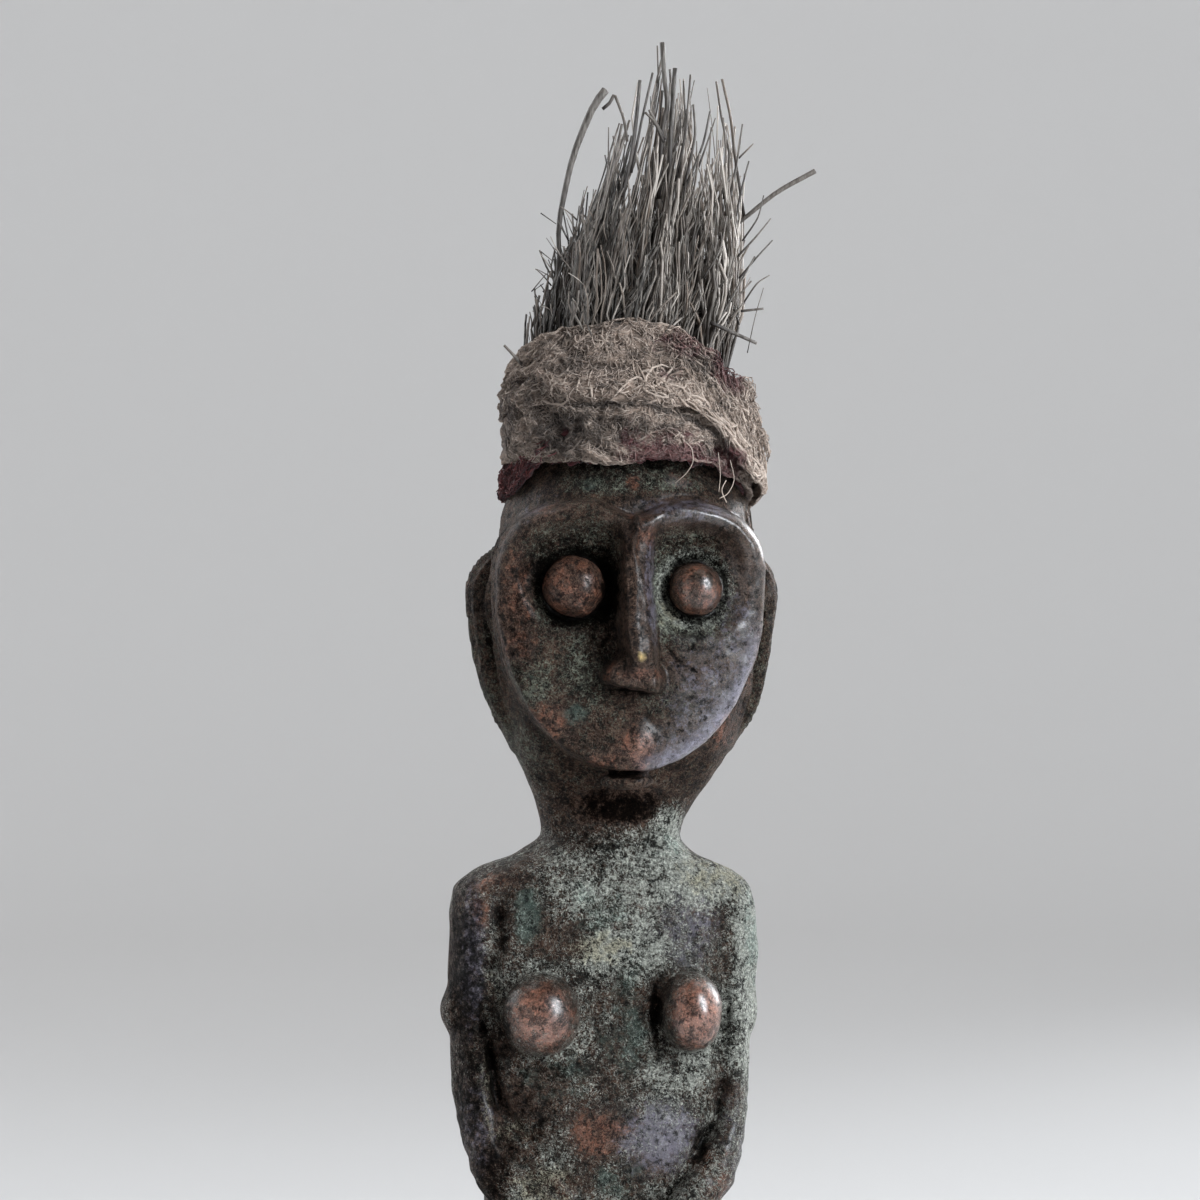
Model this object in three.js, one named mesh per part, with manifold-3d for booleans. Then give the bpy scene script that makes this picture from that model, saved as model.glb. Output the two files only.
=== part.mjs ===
// A small cast bronze figure with a tuft of stiff palm fibre bound to its crown by wound cloth.
// Millimetres, +Z up. The figure faces -Y, and the origin is the centre of the base's underside.
import * as THREE from "three";
import { mergeVertices } from "three/addons/utils/BufferGeometryUtils.js";
import Module from "manifold-3d";

// Driving sizes: the heights of the figure's landmarks above the table
const BASE = { width: 44, depth: 36, height: 5, corner: 9 };
const KNEE_Z = 26;
const CROTCH_Z = 41;
const HAND_Z = 53;
const ELBOW_Z = 68;
const BREAST_Z = 81.8;
const SHOULDER_Z = 94;
const NECK_Z = 102;
const CHIN_Z = 108.6;
const NOSE_Z = 120;
const EYE_Z = 131;
const BROW_Z = 142;
const CROWN_Z = 151.4;
const TUFT_TOP_Z = 197;

// Driving sizes: half widths, and where the head and its face are
const SHOULDER_HALF = 18.2;
const FACE_HALF = 15.9;
const HEAD_X = 1.6;
const FACE_Y = -13.4;
const CLEARANCE = 0.35;

const wasm = await Module();
wasm.setup();
const SIDES = [-1, 1];

// Small helpers

// A number raised to a power with its sign kept, for superellipses.
const signedPower = (value, power) => Math.sign(value) * Math.abs(value) ** power;

// A value between 0 and 1 that looks random and is the same each run.
const scatter = (seed) => {
  const folded = Math.sin(seed * 12.9898 + 4.1414) * 43758.5453;
  return folded - Math.floor(folded);
};

// A smooth curve through one property of rows that are sorted by z, which never overshoots them.
function through(rows, key) {
  const slope = rows.slice(1).map((row, i) => (row[key] - rows[i][key]) / (row.z - rows[i].z));
  const tangent = rows.map((_, i) => {
    const before = slope[i - 1] ?? slope[0];
    const after = slope[i] ?? slope[slope.length - 1];
    return before * after <= 0 ? 0 : (2 * before * after) / (before + after);
  });
  return (z) => {
    const above = rows.findIndex((row) => row.z > z);
    const i = above < 0 ? rows.length - 2 : Math.max(0, above - 1);
    const span = rows[i + 1].z - rows[i].z;
    const t = Math.max(0, Math.min(1, (z - rows[i].z) / span));
    const rise = t * t * (3 - 2 * t);
    const bend = t * (1 - t) ** 2 * tangent[i] - t * t * (1 - t) * tangent[i + 1];
    return rows[i][key] * (1 - rise) + rows[i + 1][key] * rise + span * bend;
  };
}

// One such curve for each of the keys.
const curves = (rows, keys) => Object.fromEntries(keys.map((key) => [key, through(rows, key)]));

// Heights from one level to the next, given as (start, steps, next level, steps, next level, ...).
function ladder(...plan) {
  const heights = [plan[0]];
  for (let i = 0; i + 2 < plan.length; i += 2)
    for (let step = 1; step <= plan[i + 1]; step++)
      heights.push(plan[i] + ((plan[i + 2] - plan[i]) * step) / plan[i + 1]);
  return heights;
}

// The angles of points that go once round, anticlockwise seen from above.
const turn = (count) => Array.from({ length: count }, (_, i) => (2 * Math.PI * i) / count);

// A closed skin over rings of points that all have the same count. Rings run upwards, and their points go
// anticlockwise seen from above. A looped skin joins its last ring to its first, and any other is closed at its ends.
function skin(rings, looped = false) {
  const count = rings[0].length;
  const points = rings.flat();
  const faces = [];
  const joints = looped ? rings.length : rings.length - 1;
  for (let r = 0; r < joints; r++)
    for (let i = 0; i < count; i++) {
      const next = (i + 1) % count;
      const low = r * count;
      const high = ((r + 1) % rings.length) * count;
      faces.push(low + i, low + next, high + next, low + i, high + next, high + i);
    }
  if (!looped) {
    const middle = (ring) => ring.reduce((sum, p) => sum.add(p), new THREE.Vector3()).divideScalar(count);
    const bottom = points.push(middle(rings[0])) - 1;
    const top = points.push(middle(rings.at(-1))) - 1;
    const start = (rings.length - 1) * count;
    for (let i = 0; i < count; i++) {
      const next = (i + 1) % count;
      faces.push(bottom, next, i, top, start + i, start + next);
    }
  }
  return new THREE.BufferGeometry().setFromPoints(points).setIndex(faces);
}

// A solid for cutting and joining, made from any closed geometry.
function solid(geometry) {
  const bare = geometry.clone();
  for (const name of Object.keys(bare.attributes)) if (name !== "position") bare.deleteAttribute(name);
  const merged = mergeVertices(bare, 1e-4);
  return new wasm.Manifold(
    new wasm.Mesh({
      numProp: 3,
      vertProperties: merged.getAttribute("position").array,
      triVerts: new Uint32Array(merged.index.array),
    }),
  );
}

const joined = (solids) => solids.reduce((sum, one) => sum.add(one));
const without = (body, cutters) => cutters.reduce((left, cutter) => left.subtract(cutter), body);

// The mesh of a finished solid, under its node's name.
function node(name, body, material) {
  const { numProp, vertProperties, triVerts } = body.getMesh();
  const positions = new Float32Array((vertProperties.length / numProp) * 3);
  for (let i = 0; i < positions.length / 3; i++)
    positions.set(vertProperties.subarray(i * numProp, i * numProp + 3), i * 3);
  const geometry = new THREE.BufferGeometry();
  geometry.setAttribute("position", new THREE.BufferAttribute(positions, 3));
  geometry.setIndex(new THREE.BufferAttribute(triVerts, 1));
  geometry.computeVertexNormals();
  const mesh = new THREE.Mesh(geometry, material);
  mesh.name = name;
  return mesh;
}

// A ball or egg from its centre and its three radii, tilted about Y by lean.
function egg([x, y, z], [rx, ry, rz], around = 12, up = 8, lean = 0) {
  const geometry = new THREE.SphereGeometry(1, around, up).rotateX(Math.PI / 2);
  return solid(geometry.scale(rx, ry, rz).rotateY(lean).translate(x, y, z));
}

// A limb: oval sections carried through stations of {at: [x, y, z], side, fore}. A section's side axis is square
// to the forward direction, which the limb never runs along.
function limb(stations, sides, steps, forward = new THREE.Vector3(0, 1, 0)) {
  const path = new THREE.CatmullRomCurve3(stations.map(({ at }) => new THREE.Vector3(...at)));
  const rings = Array.from({ length: steps + 1 }, (_, step) => {
    const place = (step / steps) * (stations.length - 1);
    const i = Math.min(Math.floor(place), stations.length - 2);
    const along = path.getTangent(step / steps);
    const across = new THREE.Vector3().crossVectors(forward, along).normalize();
    const fore = new THREE.Vector3().crossVectors(along, across);
    const wide = THREE.MathUtils.lerp(stations[i].side, stations[i + 1].side, place - i);
    const deep = THREE.MathUtils.lerp(stations[i].fore, stations[i + 1].fore, place - i);
    return turn(sides).map((angle) =>
      path
        .getPoint(step / steps)
        .addScaledVector(across, wide * Math.cos(angle))
        .addScaledVector(fore, deep * Math.sin(angle)),
    );
  });
  return solid(skin(rings));
}

// Trunk, neck and skull: one run of rounded sections

const TRUNK = [
  { z: CROTCH_Z, x: -0.3, wide: 11.5, front: -5.5, back: 7.5, square: 2.3 },
  { z: 45, x: -0.3, wide: 14.2, front: -6.8, back: 9.4, square: 2.3 },
  { z: 50, x: -0.3, wide: 14.9, front: -7.6, back: 9.8, square: 2.4 },
  { z: 57, x: -0.3, wide: 14.2, front: -8.4, back: 8.2, square: 2.5 },
  { z: 64, x: -0.4, wide: 14.4, front: -8.9, back: 7.2, square: 2.6 },
  { z: 74, x: -0.5, wide: 15.4, front: -8.4, back: 7.4, square: 2.8 },
  { z: 86, x: -0.4, wide: 17.2, front: -8.0, back: 8.0, square: 3.2 },
  { z: 93, x: -0.3, wide: SHOULDER_HALF, front: -7.6, back: 8.0, square: 3.4 },
  { z: 95.4, x: -0.2, wide: 17.4, front: -7.2, back: 7.8, square: 3.0 },
  { z: 97.6, x: -0.1, wide: 14.6, front: -6.7, back: 7.6, square: 2.6 },
  { z: 99.8, x: 0.2, wide: 9.8, front: -6.2, back: 7.2, square: 2.3 },
  { z: NECK_Z, x: 0.7, wide: 8.4, front: -6.0, back: 7.0, square: 2.1 },
  { z: 105.4, x: 1.1, wide: 9.6, front: -6.4, back: 8.0, square: 2.1 },
  { z: 109, x: HEAD_X, wide: 11.6, front: -8.2, back: 9.6, square: 2.2 },
  { z: 114, x: HEAD_X, wide: 14.2, front: -10.4, back: 10.8, square: 2.3 },
  { z: 121, x: HEAD_X, wide: 15.9, front: -11.4, back: 11.6, square: 2.4 },
  { z: 129, x: HEAD_X, wide: 16.4, front: -11.6, back: 12.0, square: 2.4 },
  { z: 136, x: HEAD_X, wide: 16.0, front: -11.8, back: 11.6, square: 2.3 },
  { z: 140, x: HEAD_X + 0.3, wide: 15.1, front: -12.0, back: 11.0, square: 2.2 },
  { z: 143, x: HEAD_X + 0.6, wide: 14.0, front: -12.2, back: 11.0, square: 2.1 },
  { z: 146, x: HEAD_X + 0.7, wide: 12.0, front: -11.2, back: 9.8, square: 2.0 },
  { z: 149, x: HEAD_X + 0.7, wide: 8.6, front: -7.9, back: 6.9, square: 2.0 },
  { z: CROWN_Z, x: HEAD_X + 0.7, wide: 2.4, front: -2.2, back: 1.8, square: 2.0 },
];
const trunk = curves(TRUNK, ["x", "wide", "front", "back", "square"]);

// One section of the trunk at height z, grown outwards by extra.
function trunkRing(z, extra = 0) {
  const power = 2 / trunk.square(z);
  return turn(TRUNK_SIDES).map((angle) => {
    const reach = angle > Math.PI ? -trunk.front(z) : trunk.back(z);
    const x = trunk.x(z) + (trunk.wide(z) + extra) * signedPower(Math.cos(angle), power);
    return new THREE.Vector3(x, (reach + extra) * signedPower(Math.sin(angle), power), z);
  });
}

const TRUNK_SIDES = 28;
const TRUNK_LEVELS = ladder(CROTCH_Z, 8, 91, 6, 102, 4, 111, 5, 139, 5, CROWN_Z);
const trunkBody = () => solid(skin(TRUNK_LEVELS.map((z) => trunkRing(z))));

// The face: a heart-topped plate in front of the skull

const FACE_MIDDLE_Z = 131.2;
const BROW_NOTCH = { depth: 2.4, width: 3 };

// The outline is half an ellipse below the eyes and half a squarer one above, dipping between the brows.
function faceOutline(inset) {
  return turn(36).map((angle) => {
    const upper = Math.sin(angle) > 0;
    const power = upper ? 2 / 3 : 1;
    const reach = (upper ? BROW_Z - FACE_MIDDLE_Z : FACE_MIDDLE_Z - CHIN_Z) - inset;
    const x = (FACE_HALF - inset) * signedPower(Math.cos(angle), power);
    const notch = upper ? BROW_NOTCH.depth * Math.exp(-((x / BROW_NOTCH.width) ** 2)) * Math.sin(angle) : 0;
    return [HEAD_X + x, FACE_MIDDLE_Z + reach * signedPower(Math.sin(angle), power) - notch];
  });
}

// Slices of the plate from inside the skull forwards, as how far behind its front and how far in they lie. The last
// three round its edge.
function facePlate() {
  const slices = [[10.5, 0.5], [1.8, 0], [0.6, 0.4], [0, 1.6]];
  return solid(skin(slices.map(([behind, inset]) =>
    faceOutline(inset).map(([x, z]) => new THREE.Vector3(x, FACE_Y + behind, z)))));
}

const EYES = [
  { x: HEAD_X - 7.0, z: EYE_Z + 0.7, radius: 3.7 },
  { x: HEAD_X + 7.2, z: EYE_Z - 0.6, radius: 3.3 },
];
const SOCKET = { wide: 6.2, deep: 2.4, high: 7.0, raise: 1.3 };

const eyeSockets = () =>
  EYES.map(({ x, z }) => egg([x, FACE_Y, z + SOCKET.raise], [SOCKET.wide, SOCKET.deep, SOCKET.high], 14, 8));

const eyeBalls = () => EYES.map(({ x, z, radius }) => egg([x, FACE_Y + 1.2, z], [radius, radius, radius], 12, 8));

// The nose is a wedge that widens and stands out downwards, and ends in a ledge between two wings.
const NOSE = [
  { z: NOSE_Z - 0.4, ridge: 1.9, foot: 3.2, out: 2.2 },
  { z: NOSE_Z + 1.2, ridge: 1.5, foot: 3.1, out: 3.9 },
  { z: NOSE_Z + 3.4, ridge: 1.1, foot: 2.7, out: 4.3 },
  { z: 129, ridge: 0.8, foot: 2.3, out: 3.1 },
  { z: 134, ridge: 0.9, foot: 2.5, out: 2.1 },
  { z: BROW_Z - 2.8, ridge: 1.6, foot: 3.6, out: 0.9 },
];

function nose() {
  const rings = NOSE.map(({ z, ridge, foot, out }) =>
    [[foot, 3], [-foot, 3], [-foot, 0], [-ridge, -out], [ridge, -out], [foot, 0]].map(
      ([x, y]) => new THREE.Vector3(HEAD_X + x, FACE_Y + y, z),
    ),
  );
  const wings = SIDES.map((side) => egg([HEAD_X + side * 2.3, FACE_Y - 0.7, NOSE_Z + 1], [2.0, 2.2, 1.6], 10, 6));
  return joined([solid(skin(rings)), ...wings]);
}

const MOUTH = { x: HEAD_X - 0.5, z: CHIN_Z + 1.2 };
const lips = () => egg([MOUTH.x, FACE_Y + 0.2, MOUTH.z - 0.1], [3.3, 1.8, 1.7], 14, 6);
const mouthSlit = () => egg([MOUTH.x, FACE_Y - 1.6, MOUTH.z], [2.3, 1.3, 0.5], 10, 4);

// Each ear is an upright flange that stands off the side of the head, broadest above its middle.
const ear = (side) =>
  limb(
    [
      { at: [HEAD_X + side * 12.8, -0.6, 112.6], side: 0.9, fore: 1.2 },
      { at: [HEAD_X + side * 15.4, -0.6, 118.5], side: 1.4, fore: 2.6 },
      { at: [HEAD_X + side * 16.5, -0.4, 125], side: 1.5, fore: 3.2 },
      { at: [HEAD_X + side * 17.0, -0.2, 131], side: 1.6, fore: 3.6 },
      { at: [HEAD_X + side * 15.0, 0, 137.2], side: 1.2, fore: 2.0 },
    ],
    6,
    8,
  );

// Arms, breasts, hands

const ARMS_X = -0.4;
const arm = (side) =>
  limb(
    [
      { at: [side * 14.2, 0.4, SHOULDER_Z - 2], side: 3.6, fore: 5.8 },
      { at: [side * 15.3, 0, 82], side: 2.8, fore: 5.4 },
      { at: [side * 14.8, -0.8, ELBOW_Z + 4], side: 2.9, fore: 5.2 },
      { at: [side * 13.0, -3.4, ELBOW_Z - 4.4], side: 3.2, fore: 5.0 },
      { at: [side * 9.2, -7.2, 58.6], side: 3.0, fore: 3.0 },
      { at: [side * 5.2, -8.8, HAND_Z + 0.6], side: 2.6, fore: 2.2 },
    ].map(({ at: [x, y, z], ...section }) => ({ at: [x + ARMS_X, y, z], ...section })),
    8,
    11,
    new THREE.Vector3(0, 1, 0.35),
  );

const HAND_LEAN = 0.6;
const hand = (side) => egg([side * 3.2, -8.9, HAND_Z - 1], [3.3, 1.9, 4.0], 10, 6, -side * HAND_LEAN);

// Three shallow cuts part the fingers of each hand.
const fingerCuts = (side) =>
  [-1, 0, 1].map((finger) =>
    egg([side * (2.4 + finger * 0.3), -10.9, HAND_Z - 1.9 + finger * 1.5], [2.6, 0.7, 0.28], 6, 3, -side * HAND_LEAN),
  );

// The groove between each arm and the chest, deeper on the figure's right.
const armpits = () => [
  egg([-13.4, -9.6, 88.6], [1.5, 3.6, 5.2], 8, 6, -0.1),
  egg([11.6, -9.4, 89.0], [2.0, 2.4, 4.6], 8, 6, 0.15),
];

const breasts = () => [
  egg([-8.5, -7.8, BREAST_Z], [4.5, 4.9, 4.8]),
  egg([9.0, -7.8, BREAST_Z - 0.3], [4.1, 5.0, 4.9]),
];

// A boss on the outside of each upper arm, prouder on the figure's right.
const armBosses = () => [
  egg([-18.2, -0.6, 81.4], [1.9, 2.0, 1.8], 10, 6),
  egg([17.6, -0.4, 81.0], [1.2, 2.0, 1.9], 10, 6),
];

// Legs, feet and base

const LEG_X = 7.9;
const leg = (side) =>
  limb(
    [
      { at: [side * LEG_X - side * 0.6, 1.0, CROTCH_Z + 6], side: 6.2, fore: 7.0 },
      { at: [side * LEG_X, -1.6, 34], side: 5.4, fore: 6.2 },
      { at: [side * LEG_X, -3.4, KNEE_Z], side: 4.9, fore: 5.4 },
      { at: [side * LEG_X, 0.2, 18], side: 4.5, fore: 5.2 },
      { at: [side * LEG_X, 1.8, BASE.height + 2], side: 3.7, fore: 4.2 },
    ],
    10,
    8,
  );

const foot = (side) => egg([side * (LEG_X + 0.3), -3.4, BASE.height + 1], [4.3, 9.6, 4.2], 12, 6);

const toeCuts = (side) =>
  [-1.5, -0.5, 0.5, 1.5].map((toe) =>
    egg([side * (LEG_X + 0.3) + toe * 1.7, -13.2, BASE.height + 2.6], [0.3, 3.4, 2.2], 4, 4),
  );

// The base is a low slab with rounded corners and eased edges.
function base() {
  const ease = 0.8;
  const [halfWide, halfDeep, corner] = [BASE.width / 2 - ease, BASE.depth / 2 - ease, BASE.corner - ease];
  const outline = new THREE.Shape();
  for (const [x, y, quarter] of [[1, -1, -1], [1, 1, 0], [-1, 1, 1], [-1, -1, 2]]) {
    const start = (quarter * Math.PI) / 2;
    outline.absarc(x * (halfWide - corner), y * (halfDeep - corner), corner, start, start + Math.PI / 2);
  }
  const slab = new THREE.ExtrudeGeometry(outline, {
    depth: BASE.height - 2 * ease,
    bevelThickness: ease,
    bevelSize: ease,
    bevelSegments: 1,
    curveSegments: 5,
  });
  return solid(slab.translate(0, 0, ease));
}

function bronzeFigure() {
  const limbs = SIDES.flatMap((side) => [leg(side), foot(side), arm(side), hand(side), ear(side)]);
  const body = joined([base(), trunkBody(), ...limbs]);
  const cuts = [...SIDES.flatMap((side) => [...fingerCuts(side), ...toeCuts(side)]), ...armpits()];
  const head = without(body, cuts).add(facePlate()).add(lips());
  return joined([without(head, [...eyeSockets(), mouthSlit()]), nose(), ...eyeBalls(), ...breasts(), ...armBosses()]);
}

// The tuft: stiff fibres that stand on the crown, leaning to the figure's left

const TUFT_FOOT_Z = CROWN_Z + CLEARANCE;
const TUFT_CORE_TOP_Z = 176;
const TUFT = [
  { z: TUFT_FOOT_Z, wide: 10.4, x: 3.1 },
  { z: 156, wide: 11.4, x: 3.3 },
  { z: 161.5, wide: 12.4, x: 3.9 },
  { z: 166, wide: 12.7, x: 4.8 },
  { z: 171.6, wide: 11.8, x: 6.2 },
  { z: TUFT_CORE_TOP_Z, wide: 9.6, x: 7.2 },
];
const TUFT_DEPTH_SHARE = 0.86;
const tuft = curves(TUFT, ["wide", "x"]);

// A point of the tuft at height z, at a share of its half width, in the direction of angle.
function tuftPoint(z, share, angle, rise = 0) {
  const reach = share * tuft.wide(z);
  return new THREE.Vector3(
    tuft.x(z) + reach * Math.cos(angle),
    reach * TUFT_DEPTH_SHARE * Math.sin(angle),
    z + rise,
  );
}

// The close-packed part is fluted, and its top is ragged.
function tuftCore() {
  const levels = [...ladder(TUFT_FOOT_Z, 2, 161, 2, 169), TUFT_CORE_TOP_Z];
  const rings = levels.map((z) =>
    turn(32).map((angle, i) => {
      const groove = (i % 2) * (0.03 + 0.05 * scatter(i));
      return tuftPoint(z, 1 - groove, angle, z === TUFT_CORE_TOP_Z ? 2.4 * scatter(i + 0.5) : 0);
    }),
  );
  return solid(skin(rings));
}

// A lock of fibres between two points, bowed at its middle and drawn to a fine end.
function lock(from, to, thick, bow = new THREE.Vector3(), steps = 2) {
  const middle = from.clone().lerp(to, 0.5).add(bow);
  const path = new THREE.QuadraticBezierCurve3(from, middle, to);
  const rings = Array.from({ length: steps + 1 }, (_, step) => {
    const half = (thick / 2) * (1 - (0.72 * step) / steps);
    return turn(4).map((angle) =>
      path.getPoint(step / steps).add(new THREE.Vector3(half * Math.cos(angle), half * Math.sin(angle), 0)),
    );
  });
  return solid(skin(rings));
}

// Locks stand in rings inside the core. The further out a lock is, the shorter it is.
const LOCK_RINGS = [
  { share: 0.15, count: 4, low: 183, high: 191 },
  { share: 0.45, count: 8, low: 180, high: 190 },
  { share: 0.72, count: 11, low: 176, high: 187 },
  { share: 0.94, count: 14, low: 170, high: 180 },
];
const LOCK_FOOT_Z = 162.5;

const looseLocks = () =>
  LOCK_RINGS.flatMap(({ share, count, low, high }, ring) =>
    turn(count).map((angle, i) => {
      const seed = ring * 31 + i;
      const top = low + (high - low) * scatter(seed + 7);
      const level = Math.min(top, TUFT_CORE_TOP_Z);
      const foot = tuftPoint(LOCK_FOOT_Z, share * 0.94, angle);
      const tip = tuftPoint(level, share + 0.16 * scatter(seed + 13), angle, top - level);
      return lock(foot, tip, 1.6 + 0.8 * scatter(seed + 3));
    }),
  );

// The fibres that the eye picks out: the tallest ones, the thick bent stalk and the one that sticks out sideways.
const STRAYS = [
  { start: [6.6, -1, 170], end: [6.8, -1.4, TUFT_TOP_Z], thick: 1.8 },
  { start: [8.0, 0, 170], end: [9.0, -0.6, 193.5], thick: 1.7 },
  { start: [3.2, 0, 170], end: [3.7, 0.6, 191.5], thick: 1.7 },
  { start: [13.4, -1, 168], end: [14.6, -1, 192], thick: 1.6 },
  { start: [-6.8, -2.6, 163], end: [0, -2.6, 190.8], thick: 1.7, bow: [-4.4, 0, 2.4], steps: 6 },
  { start: [15.0, -2.6, 168], end: [25.0, -3.6, 181.4], thick: 1.3, bow: [-0.4, 0, 1.4], steps: 3 },
];

const strays = () =>
  STRAYS.map(({ start, end, thick, bow = [0, 0, 0], steps }) =>
    lock(new THREE.Vector3(...start), new THREE.Vector3(...end), thick, new THREE.Vector3(...bow), steps),
  );

const palmFibreTuft = () => joined([tuftCore(), ...looseLocks(), ...strays()]);

// Wound cloth: rings whose profile changes on the way round. Angle 0 is the figure's left, and -90 degrees its front.

const CLOTH_CENTRE = { x: 2.9, y: 0 };
const CLOTH_DEPTH_SHARE = 0.93;
const frontness = (angle) => Math.max(0, -Math.sin(angle));
const leftness = (angle) => Math.cos(angle);

// A ring whose profile is a list of [radius, z] that runs up the outside and down the inside. The skin takes it the
// other way, so that its faces point out.
function wound(profileAt, around) {
  const rings = turn(around).map((angle) =>
    profileAt(angle).reverse().map(
      ([radius, z]) =>
        new THREE.Vector3(
          CLOTH_CENTRE.x + radius * Math.cos(angle),
          CLOTH_CENTRE.y + radius * CLOTH_DEPTH_SHARE * Math.sin(angle),
          z,
        ),
    ),
  );
  return solid(skin(rings, true));
}

// What the cloth has to clear: the skull and the foot of the tuft, each grown by the clearance.
const skullRoom = () =>
  solid(skin(TRUNK_LEVELS.filter((z) => z > EYE_Z).map((z) => trunkRing(z, CLEARANCE))));

const tuftRoom = () =>
  solid(
    skin(
      ladder(TUFT_FOOT_Z - CLEARANCE, 4, 166).map((z) =>
        turn(32).map((angle) => tuftPoint(z, 1 + (2 * CLEARANCE) / tuft.wide(z), angle)),
      ),
    ),
  );

// The red cloth is the innermost turn. It shows as a rim under the grey-brown one.
function redCloth(angle) {
  const bottom = 142.9 + 2.5 * frontness(angle) + 0.3 * leftness(angle);
  return [
    [13.5, bottom],
    [14.1, bottom + 0.3],
    [13.9, 147],
    [13.4, 149.4],
    [10.8, 149.4],
    [10.8, bottom + 0.6],
  ];
}

// The grey-brown strip goes round twice. Its outer turn starts high on the figure's right and sinks to the left.
function greyCloth(angle) {
  const lowLeft = leftness(angle) * (1 - frontness(angle));
  const bottom = 143.8 + 2.0 * frontness(angle) - 2.2 * lowLeft;
  const step = 150.6 + 1.6 * frontness(angle) - 2.6 * leftness(angle);
  const top = 159.4 - 2.0 * Math.sin(angle);
  return [
    [14.9, bottom],
    [15.2, bottom + 0.5],
    [15.0, step - 0.2],
    [15.7, step + 0.5],
    [15.1, 156],
    [13.9, top - 1.4],
    [13.1, top],
    [12.3, top],
    [12.6, 155],
    [14.4, 150],
    [14.4, bottom + 0.3],
  ];
}

const redBand = () => wound(redCloth, 28).subtract(skullRoom());
const greyWrap = () => without(wound(greyCloth, 36), [skullRoom(), tuftRoom()]);

// Finishes

const bronze = new THREE.MeshStandardMaterial({ color: 0x4a3f37, roughness: 0.5, metalness: 0.75 });
const redCotton = new THREE.MeshStandardMaterial({ color: 0x5e2c30, roughness: 0.95, metalness: 0 });
const greyBrownCotton = new THREE.MeshStandardMaterial({ color: 0x8a7c70, roughness: 0.95, metalness: 0 });
const palmFibre = new THREE.MeshStandardMaterial({ color: 0x6f6a63, roughness: 0.8, metalness: 0 });

const figure = new THREE.Group();
figure.add(
  node("bronze_figure", bronzeFigure(), bronze),
  node("red_cloth_band", redBand(), redCotton),
  node("grey_cloth_wrap", greyWrap(), greyBrownCotton),
  node("palm_fibre_tuft", palmFibreTuft(), palmFibre),
);

export default figure;
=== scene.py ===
# %% [markdown]
# A small cast bronze figure with a tuft of palm fibre bound to its crown by wound cloth.
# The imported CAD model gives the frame: every size here is in millimetres in that frame, and each mesh
# is put in metres when it is made. Four things are made again in full detail: the casting, the red
# cloth, the grey-brown strip that is wound over it, and the fibres.

# %% Load the frame
import math
import bpy
import numpy as np
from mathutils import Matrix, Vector


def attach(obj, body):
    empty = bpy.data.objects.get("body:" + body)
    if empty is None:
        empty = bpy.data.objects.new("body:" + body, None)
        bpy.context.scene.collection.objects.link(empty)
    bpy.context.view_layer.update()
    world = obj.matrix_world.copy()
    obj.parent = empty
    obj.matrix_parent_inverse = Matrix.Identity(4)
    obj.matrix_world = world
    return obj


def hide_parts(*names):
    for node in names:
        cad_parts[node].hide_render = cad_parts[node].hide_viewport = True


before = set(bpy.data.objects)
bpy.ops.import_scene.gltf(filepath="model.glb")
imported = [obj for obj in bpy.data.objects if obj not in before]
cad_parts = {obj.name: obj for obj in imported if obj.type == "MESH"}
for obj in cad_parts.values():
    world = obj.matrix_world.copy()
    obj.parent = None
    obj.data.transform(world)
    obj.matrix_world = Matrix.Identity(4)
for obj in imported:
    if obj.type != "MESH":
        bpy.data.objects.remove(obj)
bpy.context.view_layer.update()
MM = 0.001

# %% [markdown]
# A mesh can be built point by point, but Blender also takes whole arrays, which is far quicker. All the
# new pieces are arrays of points and of corner numbers, so they share a few small makers.

# %% Meshes from arrays
def ring_squares(rings, around):
    """Corner numbers of the squares between closed rings of points: two neighbours on a ring, then the two
    beside them on the next ring."""
    ring, place = np.meshgrid(np.arange(rings - 1), np.arange(around), indexing="ij")
    beside = (place + 1) % around
    corners = (ring, place), (ring, beside), (ring + 1, beside), (ring + 1, place)
    return np.stack([r * around + c for r, c in corners], -1).reshape(-1, 4)


def fan(pole, rim):
    """Triangles from a pole to each two neighbours round a rim."""
    return np.stack([np.full(len(rim), pole), rim, np.roll(rim, -1)], -1)


def put_object(name, data):
    """Links a mesh, lamp or camera to the scene as an object at the origin."""
    thing = bpy.data.objects.new(name, data)
    bpy.context.scene.collection.objects.link(thing)
    return thing


def put_mesh(name, points, *face_sets):
    """An object from points in millimetres and sets of faces, each with one count of corners."""
    corners = np.concatenate([faces.ravel() for faces in face_sets])
    counts = np.concatenate([np.full(len(faces), faces.shape[1]) for faces in face_sets])
    mesh = bpy.data.meshes.new(name)
    mesh.vertices.add(len(points))
    mesh.vertices.foreach_set("co", (points * MM).astype(np.float32).ravel())
    mesh.loops.add(len(corners))
    mesh.loops.foreach_set("vertex_index", corners.astype(np.int32))
    mesh.polygons.add(len(counts))
    mesh.polygons.foreach_set("loop_start", (np.cumsum(counts) - counts).astype(np.int32))
    mesh.update(calc_edges=True)
    mesh.shade_smooth()
    print(f"{name}: {len(points)} points, {int((counts - 2).sum())} triangles")
    return put_object(name, mesh)


def paint(piece, name, values):
    """Gives each point of the mesh one number, which a material reads by this name."""
    layer = piece.data.attributes.new(name, "FLOAT", "POINT")
    layer.data.foreach_set("value", np.asarray(values, np.float32).ravel())

# %% [markdown]
# Castings, felt and fibres are all a little irregular. The irregularity here is lattice noise: random
# numbers at the corners of imagined cubes, blended smoothly inside each cube. The seeds are fixed, so
# the figure comes out the same each time.

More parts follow.
